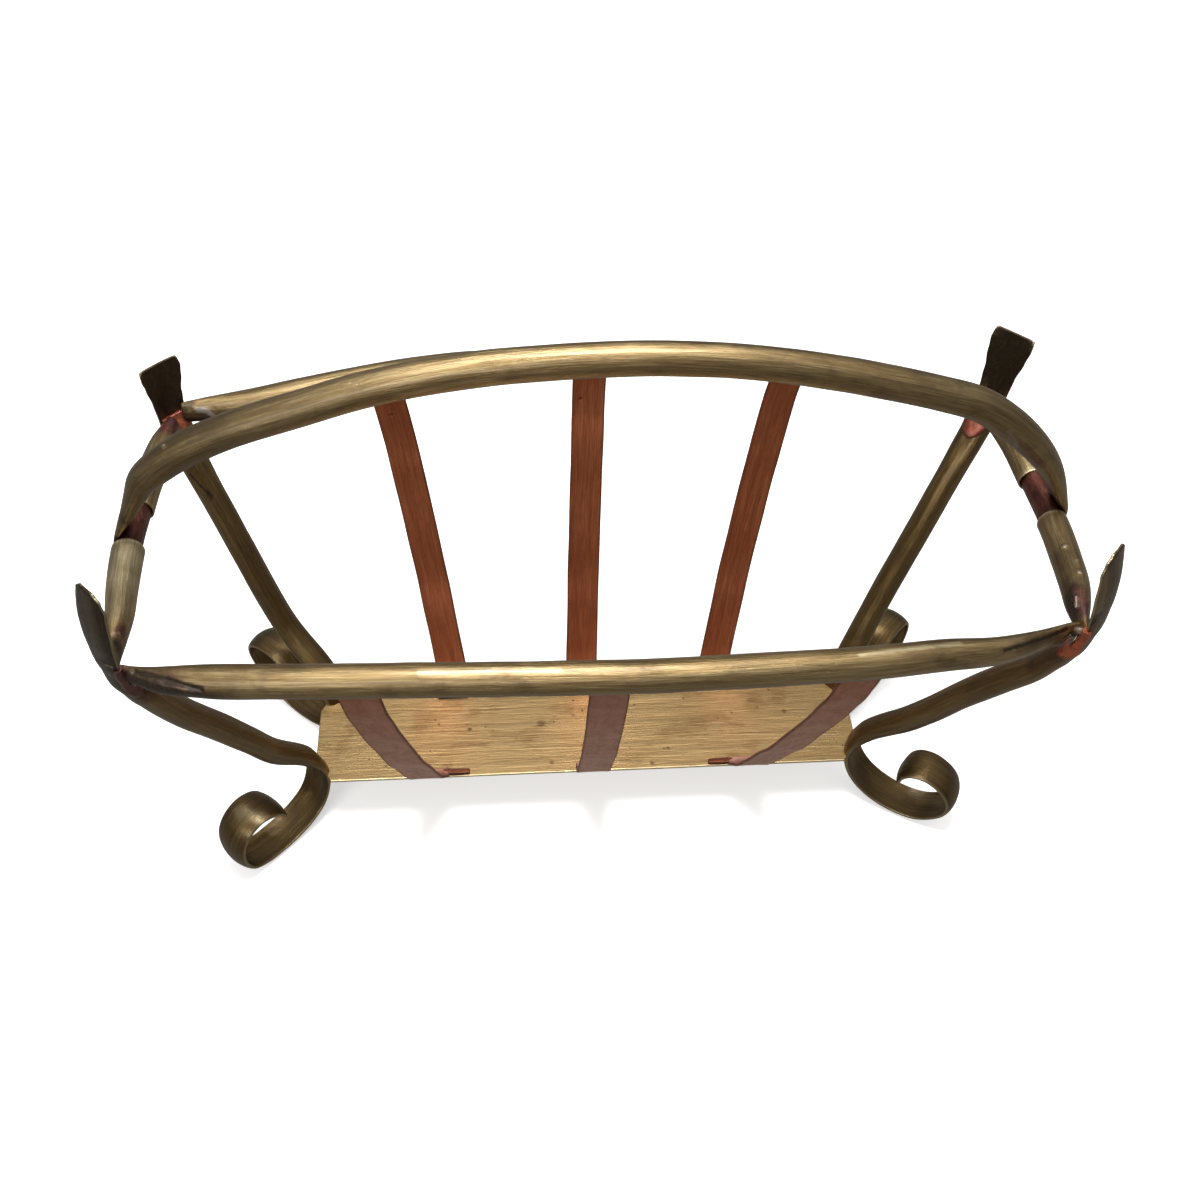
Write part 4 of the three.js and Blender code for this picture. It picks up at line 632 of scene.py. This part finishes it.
for side, D in SIDE.items():
    spec = COLLAR[side]
    i0, i1 = at_y(D, spec["y0"]), at_y(D, spec["y1"])
    for part, idx, hand, node in (("front", np.arange(0, i0), 1, "front"), ("rear", np.arange(199, i1, -1), -1, "rear")):
        E = cutD(D, idx)
        R = ring(2 * E["up"], E["out"], 0, 0, 48)
        # mouth: rounded lip, wall, and a short way back inside
        last = len(idx) - 1
        c, T, W, N = [E["c"]], [E["T"]], [E["W"]], [E["N"]]
        d = E["c"][last] - E["c"][last - 1]
        d = d / np.linalg.norm(d)
        rr = [R]
        for step, less in ((0.28, 0.10), (0.42, 0.35), (0.40, 0.80), (0.1, 1.2), (-6.0, 1.35)):
            c.append((E["c"][last] + d * step)[None])
            T.append(E["T"][last:]); W.append(E["W"][last:]); N.append(E["N"][last:])
            rr.append(ring(2 * (E["up"][last] - less), E["out"][last] - less, 0, 0, 48))
        cat = lambda X: np.concatenate(X)
        sk = Skin(cat(c), cat(T), cat(W), cat(N), cat(rr), hand=hand, ends=(0.6, 0), wobble=0.12, seed=20 + len(PIECES))
        t = sk.tint.reshape(sk.n, sk.s, 4)
        # painted highlight on the rounded lip of the mouth
        m = smooth((np.arange(sk.n) - (sk.n - 9)) / 3.0)
        t[..., 3] += (0.5 if part == "front" else 0.12) * (m * (np.arange(sk.n) < sk.n - 2))[:, None]
        build("end_rail_" + side + "_" + part + "_tube", [sk], aged, ["end_rail_" + side + "_" + node])
    idx = np.arange(i0 - 6, i1 + 7)
    E = cutD(D, idx)
    R = ring(np.full(len(idx), 2 * (spec["up"] - 0.35)), np.full(len(idx), spec["out"] + 0.1), 0, 0, 48)
    sk = Skin(E["c"], E["T"], E["W"], E["N"], R, ends=(0.5, 0.5), wobble=0.25, seed=40 + len(side))
    t = sk.tint.reshape(sk.n, sk.s, 4)
    y = np.arange(sk.n)
    ed = np.maximum(1 - smooth((y - 9) / 8.0), smooth((y - (sk.n - 17)) / 8.0))
    t[..., 1] += 0.5 * ed[:, None]
    build("collar_" + side + "_sleeve", [sk], dark_copper, ["collar_" + side])

cv, _ = curve([[x, HANDLE_Y, z, t, w] for x, z, t, w in HANDLE], 620)
c = cv[:, :3]
T, W, N = frames(c, np.tile([0, 1.0, 0], (len(c), 1)))
fl = np.clip((6 - cv[:, 3]) / 8, 0, 0.6)
R = ring(2 * cv[:, 4], cv[:, 3], 0, fl, 64)
a = 2 * np.pi * np.arange(64) / 64
sk = Skin(c, T, W, N, R, ends=(0.7, 0.7), wobble=0.24, seed=50)
t = sk.tint.reshape(sk.n, sk.s, 4)
hx = np.r_[[c[0, 0]] * 3, c[:, 0], [c[-1, 0]] * 3]
t[..., 1] += (0.42 * smooth((-70 - hx) / 110) + 0.18 * smooth((hx - 120) / 100))[:, None]
# painted shade along the underside of the handle
t[..., 1] += 0.25 * smooth((-np.sin(a) - 0.3) / 0.6)[None, :]
build("handle_tube", [sk], aged, ["handle"])


# ------------------------------------------------------------------ straps
def strap_rows(S):
    top = PLATE_Z + PLATE_T / 2 + GAP + STRAP_T / 2
    rows = []
    x_at = lambda z: S["xt"] + (S["xb"] - S["xt"]) * min(1.15, max(-0.1, (206 - z) / 156))
    for y, z in S["top"] + STRAP:
        rows.append([x_at(z), S["side"] * y, z, S["w"]])
    x, wide = rows[-1][0], (4 if S["foot"] else 0)
    turn = {"left": 1, "right": -1, "": 0}[S["foot"]]
    reach = 3.2 if S["side"] < 0 else 11
    rows += [[x + turn * 0.5, S["side"] * 35.0, top + 1.2, S["w"] + wide],
             [x + turn, S["side"] * (34.2 - reach * 0.4), top + 0.45, S["w"] + wide],
             [x + turn, S["side"] * (34.2 - reach), top + 0.4, S["w"] + wide]]
    return rows


def slab_ring(w, t, cols=22):
    w = np.atleast_1d(w)
    out = []
    r = t / 2
    arc = np.linspace(-np.pi / 2, np.pi / 2, 7)
    for wi in w:
        h = wi / 2 - r * 0.55
        xs = np.linspace(-h, h, cols)
        topside = [(x, r) for x in xs[::-1]]
        left = [(-h - r * 0.55 * math.cos(b), -r * math.sin(b) * -1) for b in arc[::-1]][1:-1]
        bottom = [(x, -r) for x in xs]
        right = [(h + r * 0.55 * math.cos(b), r * math.sin(b)) for b in arc][1:-1]
        out.append(topside + [(-h - r * 0.55 * math.cos(b), r * math.sin(b)) for b in arc[::-1]][1:-1] + bottom + right)
    return np.array(out)


for i, (name, S) in enumerate(STRAPS.items()):
    cv, _ = curve(strap_rows(S), 300)
    c = cv[:, :3]
    T, W, N = frames(c, np.tile([1.0, 0, 0], (300, 1)))
    wv = cv[:, 3] + 0.25 * np.array([noise.noise(Vector((q * 0.03, i * 9.1, 0))) for q in range(300)])
    R = slab_ring(wv, STRAP_T)
    R[..., 1] += 0.25 * (R[..., 0] / 10) ** 2
    sk = Skin(c, T, W, N, R, ends=(0.4, 0.4), wobble=0.14, seed=60 + i)
    t = sk.tint.reshape(sk.n, sk.s, 4)
    z = np.r_[[c[0, 2]] * 3, c[:, 2], [c[-1, 2]] * 3]
    if S["side"] < 0:
        t[..., 0] += (0.55 + 0.40 * smooth((190 - z) / 120))[:, None]
        t[..., 1] += (0.12 * smooth((z - 150) / 50))[:, None]
    thin = (np.abs(np.abs(R[0, :, 0]) - np.abs(R[0, :, 0]).max()) < 0.5)
    t[:, thin, 1] += 0.55
    skins = [sk]
    if S["foot"]:
        d = 1 if S["foot"] == "left" else -1
        e = cv[-1]
        edge = e[0] + d * e[3] / 2
        reach = TOE[S["foot"]]
        xs = np.linspace(edge - d * 9, edge + d * reach, 60)
        yy = -PLATE_HALF_Y + 2.3 - 0.15 * np.abs(xs - edge) * 0.05
        cc = np.stack([xs, yy, np.full(60, PLATE_Z + PLATE_T / 2 + GAP + 0.25 + STRAP_T / 2)], -1)
        Tt, Wt, Nt = frames(cc, np.tile([0, 1.0, 0], (60, 1)), hand=1)
        ww = 3.6 - 0.9 * smooth((np.abs(xs - edge) - reach * 0.4) / reach)
        tk = Skin(cc, Tt, Wt, Nt, slab_ring(ww, STRAP_T, 8), ends=(0.5, 0.5), wobble=0.15, seed=80 + i)
        tk.tint[:, 1] += 0.75
        skins.append(tk)
    build("strap_" + name + "_strip", skins, copper, ["strap_" + name])

# ------------------------------------------------------------------ floor sheet
xs = np.linspace(-PLATE_HALF_X, PLATE_HALF_X, 640)
half = PLATE_HALF_Y - np.clip((np.abs(xs) - (PLATE_HALF_X - CLIP_X)) / CLIP_X, 0, 1) * CLIP_Y
c = np.stack([xs, np.zeros_like(xs), np.full_like(xs, PLATE_Z)], -1)
T, W, N = frames(c, np.tile([0, 1.0, 0], (len(xs), 1)))
R = slab_ring(half * 2, PLATE_T, 120)
sk = Skin(c, T, W, N, R, ends=(0.3, 0.3), wobble=0.0, seed=90)
w = np.array([noise.noise(Vector((p[0] * 0.012, p[1] * 0.03, 4.2))) for p in sk.P])
sk.P[:, 2] += 0.28 * w
# painted highlight along the plate's rounded edges
rim = smooth((np.abs(sk.P[:, 1]) - (PLATE_HALF_Y - 1.0)) / 0.8)
sk.tint[:, 3] += 0.5 * rim
build("base_plate_sheet", [sk], sheet, ["base_plate"])

# ------------------------------------------------------------------ lugs and rivets
for i, (name, D) in enumerate(LD.items()):
    k, n = D["k"], 420
    start = int(round(k[3] * (n - 1))) + LUG_START[name]
    seg = np.linalg.norm(np.diff(D["c"], axis=0), axis=1)
    end = start
    while seg[start:end].sum() < LUG_LEN:
        end += 1
    idx = np.arange(start, end + 1)
    t = (idx - start) / (end - start)
    a0, a1 = LUG_ARC[name]
    rings = []
    for q, tt in zip(idx, t):
        w, h, dish, flat = D["K"][q]
        rnd = math.sqrt(max(0.04, 1 - max(0, (tt - 0.6) / 0.4) ** 2)) * (1 + 0.05 * math.sin(tt * 9 + i))
        mid_, half_ = (a0 + a1) / 2, (a1 - a0) / 2 * rnd
        aa = np.linspace(mid_ - half_, mid_ + half_, 26) * rad
        cs, sn = np.cos(aa), np.sin(aa)
        u = np.sign(cs) * np.abs(cs) ** (1 - 0.35 * flat)
        v = np.sign(sn) * np.abs(sn) ** (1 - 0.75 * flat)
        nu, nv = cs / (w / 2), sn / h
        l = np.hypot(nu, nv)
        nu, nv = nu / l, nv / l
        P0 = np.stack([u * w / 2, h * v + dish * u * u], -1)
        E = np.stack([nu, nv], -1)
        far = 0.15 + LUG_T * np.clip(1.6 * np.sin(np.linspace(0.12, np.pi - 0.12, 26)), 0.3, 1.0)
        rings.append(np.r_[P0 + E * far[:, None], (P0 + E * -0.4)[::-1]])
    sk = Skin(D["c"][idx], D["T"][idx], D["W"][idx], D["N"][idx], np.array(rings), hand=D["hand"], ends=(0, 0), wobble=0.0, seed=100 + i)
    sk.P += sk.out * (0.30 * np.array([noise.noise(Vector(p * 0.25)) for p in sk.P]))[:, None]
    q = sk.tint.reshape(sk.n, sk.s, 4)
    # painted shade at the lug's rounded end and along its side edges
    q[..., 1] += 0.60 * smooth((t - 0.88) / 0.10)[:, None]
    q[:, [0, 1, 24, 25], 1] += 0.6
    q[..., 0] += {"front_right": 0.9, "back_left": 0.9, "back_right": 0.5}.get(name, 0.1)
    q[..., 1] += {"front_left": 0.45}.get(name, 0.0)
    build("corner_lug_" + name + "_plate", [sk], lug_copper, ["corner_lug_" + name])
    at = int(round(k[3] * (n - 1))) + LUG_START[name] + 14
    w, h = D["K"][at, 0], D["K"][at, 1]
    deg = ((a0 + a1) / 2 + (16 if name == "front_right" else 0)) * rad
    dish, flat = D["K"][at, 2], D["K"][at, 3]
    sec = lambda q: np.array([np.sign(math.cos(q)) * abs(math.cos(q)) ** (1 - 0.35 * flat) * w / 2,
                              h * np.sign(math.sin(q)) * abs(math.sin(q)) ** (1 - 0.75 * flat) + dish * (abs(math.cos(q)) ** (1 - 0.35 * flat)) ** 2])
    s0, s1, s2 = sec(deg), sec(deg - 3 * rad), sec(deg + 3 * rad)
    O3 = unit(D["W"][at] * (s2 - s1)[1] - D["N"][at] * (s2 - s1)[0])
    o = D["c"][at] + D["W"][at] * s0[0] + D["N"][at] * s0[1]
    top = LUG_T + 0.25
    prof = [(1.4, -3.5), (1.5, top), (2.75, top - 0.25), (2.95, top + 0.15), (2.85, top + 0.5), (2.35, top + 0.62), (2.0, top + 0.60), (1.75, top + 0.85), (1.1, top + 1.15), (0.3, top + 1.25)]
    cc = np.array([o + O3 * p[1] for p in prof])
    W0 = unit(D["T"][at] - O3 * (D["T"][at] @ O3))
    T1, W1 = np.tile(O3, (len(prof), 1)), np.tile(W0, (len(prof), 1))
    N1 = np.cross(T1, W1)
    R = np.stack([ring(2 * p[0], p[0], 0, 0, 32)[0] for p in prof])
    sk = Skin(cc, T1, W1, N1, R, ends=(0, 0), wobble=0.0, seed=110 + i)
    sk.P += sk.out * (0.22 * np.array([noise.noise(Vector(p * 0.5)) for p in sk.P]))[:, None]
    q = sk.tint.reshape(sk.n, sk.s, 4)
    # painted shade under the rivet head's rim and in the step on its top
    q[2:4, :, 1] += 0.9
    q[5:7, :, 1] += 0.7
    build("corner_rivet_" + name + "_pin", [sk], rivet_metal, ["corner_rivet_" + name])


# the folded end of the front rail is packed with solder where it runs behind the right lug
D = LD["front_right"]
p0, p1 = FR["c"][-10], D["c"][int(round(D["k"][3] * 419)) + LUG_START["front_right"] + 12]
q = np.linspace(0, 1, 14)
cc = p0 + (p1 - p0) * (0.05 + 0.95 * q)[:, None]
T1 = np.tile(unit(p1 - p0), (14, 1))
W1 = np.tile(unit(np.cross(T1[0], np.cross([0, 0, 1.0], T1[0]))), (14, 1))
sk = Skin(cc, T1, W1, np.cross(T1, W1), np.stack([ring(2 * r, r, 0, 0, 32)[0] for r in 0.6 + 3.4 * np.sin(np.pi * (0.04 + 0.80 * q)) ** 0.6]), ends=(0.4, 0.4), wobble=0.0, seed=140)
sk.P += sk.out * (0.45 * np.array([noise.noise(Vector(p * 0.35)) for p in sk.P]))[:, None]
sk.tint[:, 0] += 0.25
sk.tint[:, 1] += 0.9
build("front_rail_fill", [sk], aged, ["front_rail"])

# ------------------------------------------------------------------ camera, floor and light
yaw, pitch, roll = 0.09365940217, 0.82638488425, 0.03591172545
C = np.array([-40.068160, -480.105732, 671.407985]) + OFF
fwd = np.array([math.sin(yaw) * math.cos(pitch), math.cos(yaw) * math.cos(pitch), -math.sin(pitch)])
right0 = np.array([math.cos(yaw), -math.sin(yaw), 0])
up0 = np.cross(right0, fwd)
right = math.cos(roll) * right0 + math.sin(roll) * up0
up = -math.sin(roll) * right0 + math.cos(roll) * up0
cam = bpy.data.cameras.new("camera")
cam.sensor_width = 36.0
cam.lens = 1300.042 * 36.0 / 1200.0
cam.clip_start, cam.clip_end = 0.01, 50
co = bpy.data.objects.new("camera", cam)
M = Matrix.Identity(4)
for r in range(3):
    M[r][0], M[r][1], M[r][2], M[r][3] = right[r], up[r], -fwd[r], C[r] / 1000
co.matrix_world = M
bpy.context.scene.collection.objects.link(co)
bpy.context.scene.camera = co

fm = bpy.data.materials.new("floor_paper")
fm.use_nodes = True
N_, L_ = fm.node_tree.nodes, fm.node_tree.links
fb = N_["Principled BSDF"]
fb.inputs["Base Color"].default_value = (0.93, 0.93, 0.93, 1)
fb.inputs["Roughness"].default_value = 0.9
fb.inputs["Specular IOR Level"].default_value = 0.1
fb.inputs["Emission Color"].default_value = (1, 1, 1, 1)
fb.inputs["Emission Strength"].default_value = 0.45
lp = N_.new("ShaderNodeLightPath")
em = N_.new("ShaderNodeEmission")
em.inputs["Color"].default_value = (0.30, 0.285, 0.26, 1)
em.inputs["Strength"].default_value = FLOOR_GLOSSY
mx = N_.new("ShaderNodeMixShader")
L_.new(lp.outputs["Is Glossy Ray"], mx.inputs[0])
L_.new(fb.outputs[0], mx.inputs[1])
L_.new(em.outputs[0], mx.inputs[2])
L_.new(mx.outputs[0], N_["Material Output"].inputs[0])
fme = bpy.data.meshes.new("floor")
S_ = 6.0
fme.from_pydata([(-S_, -S_, 0), (S_, -S_, 0), (S_, S_, 0), (-S_, S_, 0)], [], [(0, 1, 2, 3)])
fme.materials.append(fm)
fo = bpy.data.objects.new("floor", fme)
bpy.context.scene.collection.objects.link(fo)


def area(name, loc, target, sx, sy, power, color=(1, 1, 1)):
    l = bpy.data.lights.new(name, "AREA")
    l.shape = "RECTANGLE"
    l.size, l.size_y = sx, sy
    l.energy = power
    l.color = color
    o = bpy.data.objects.new(name, l)
    o.location = loc
    o.rotation_euler = (Vector(target) - Vector(loc)).to_track_quat("-Z", "Y").to_euler()
    bpy.context.scene.collection.objects.link(o)
    return o


for a_ in LIGHTS:
    area(*a_)

w = bpy.data.worlds.new("studio") if bpy.context.scene.world is None else bpy.context.scene.world
bpy.context.scene.world = w
w.use_nodes = True
nt = w.node_tree
nt.nodes.clear()
outp = nt.nodes.new("ShaderNodeOutputWorld")
bg1, bg2 = nt.nodes.new("ShaderNodeBackground"), nt.nodes.new("ShaderNodeBackground")
bg2.inputs[0].default_value = (1, 1, 1, 1)
bg2.inputs[1].default_value = 1.0
tc = nt.nodes.new("ShaderNodeTexCoord")
sx = nt.nodes.new("ShaderNodeSeparateXYZ")
nt.links.new(tc.outputs["Generated"], sx.inputs[0])
rp = nt.nodes.new("ShaderNodeValToRGB")
els = rp.color_ramp.elements
while len(els) < len(SKY):
    els.new(0.5)
for e, (p, v) in zip(els, SKY):
    e.position = p
    e.color = (v, v * 0.985, v * 0.96, 1)
nt.links.new(sx.outputs[2], rp.inputs[0])
nt.links.new(rp.outputs[0], bg1.inputs[0])
bg1.inputs[1].default_value = SKY_GAIN
lw = nt.nodes.new("ShaderNodeLightPath")
ms = nt.nodes.new("ShaderNodeMixShader")
nt.links.new(lw.outputs["Is Camera Ray"], ms.inputs[0])
nt.links.new(bg1.outputs[0], ms.inputs[1])
nt.links.new(bg2.outputs[0], ms.inputs[2])
nt.links.new(ms.outputs[0], outp.inputs[0])

bpy.context.scene.view_settings.view_transform = "Standard"
bpy.context.scene.view_settings.look = "None"
bpy.context.scene.view_settings.exposure = 0.0
bpy.context.scene.view_settings.gamma = 1.0
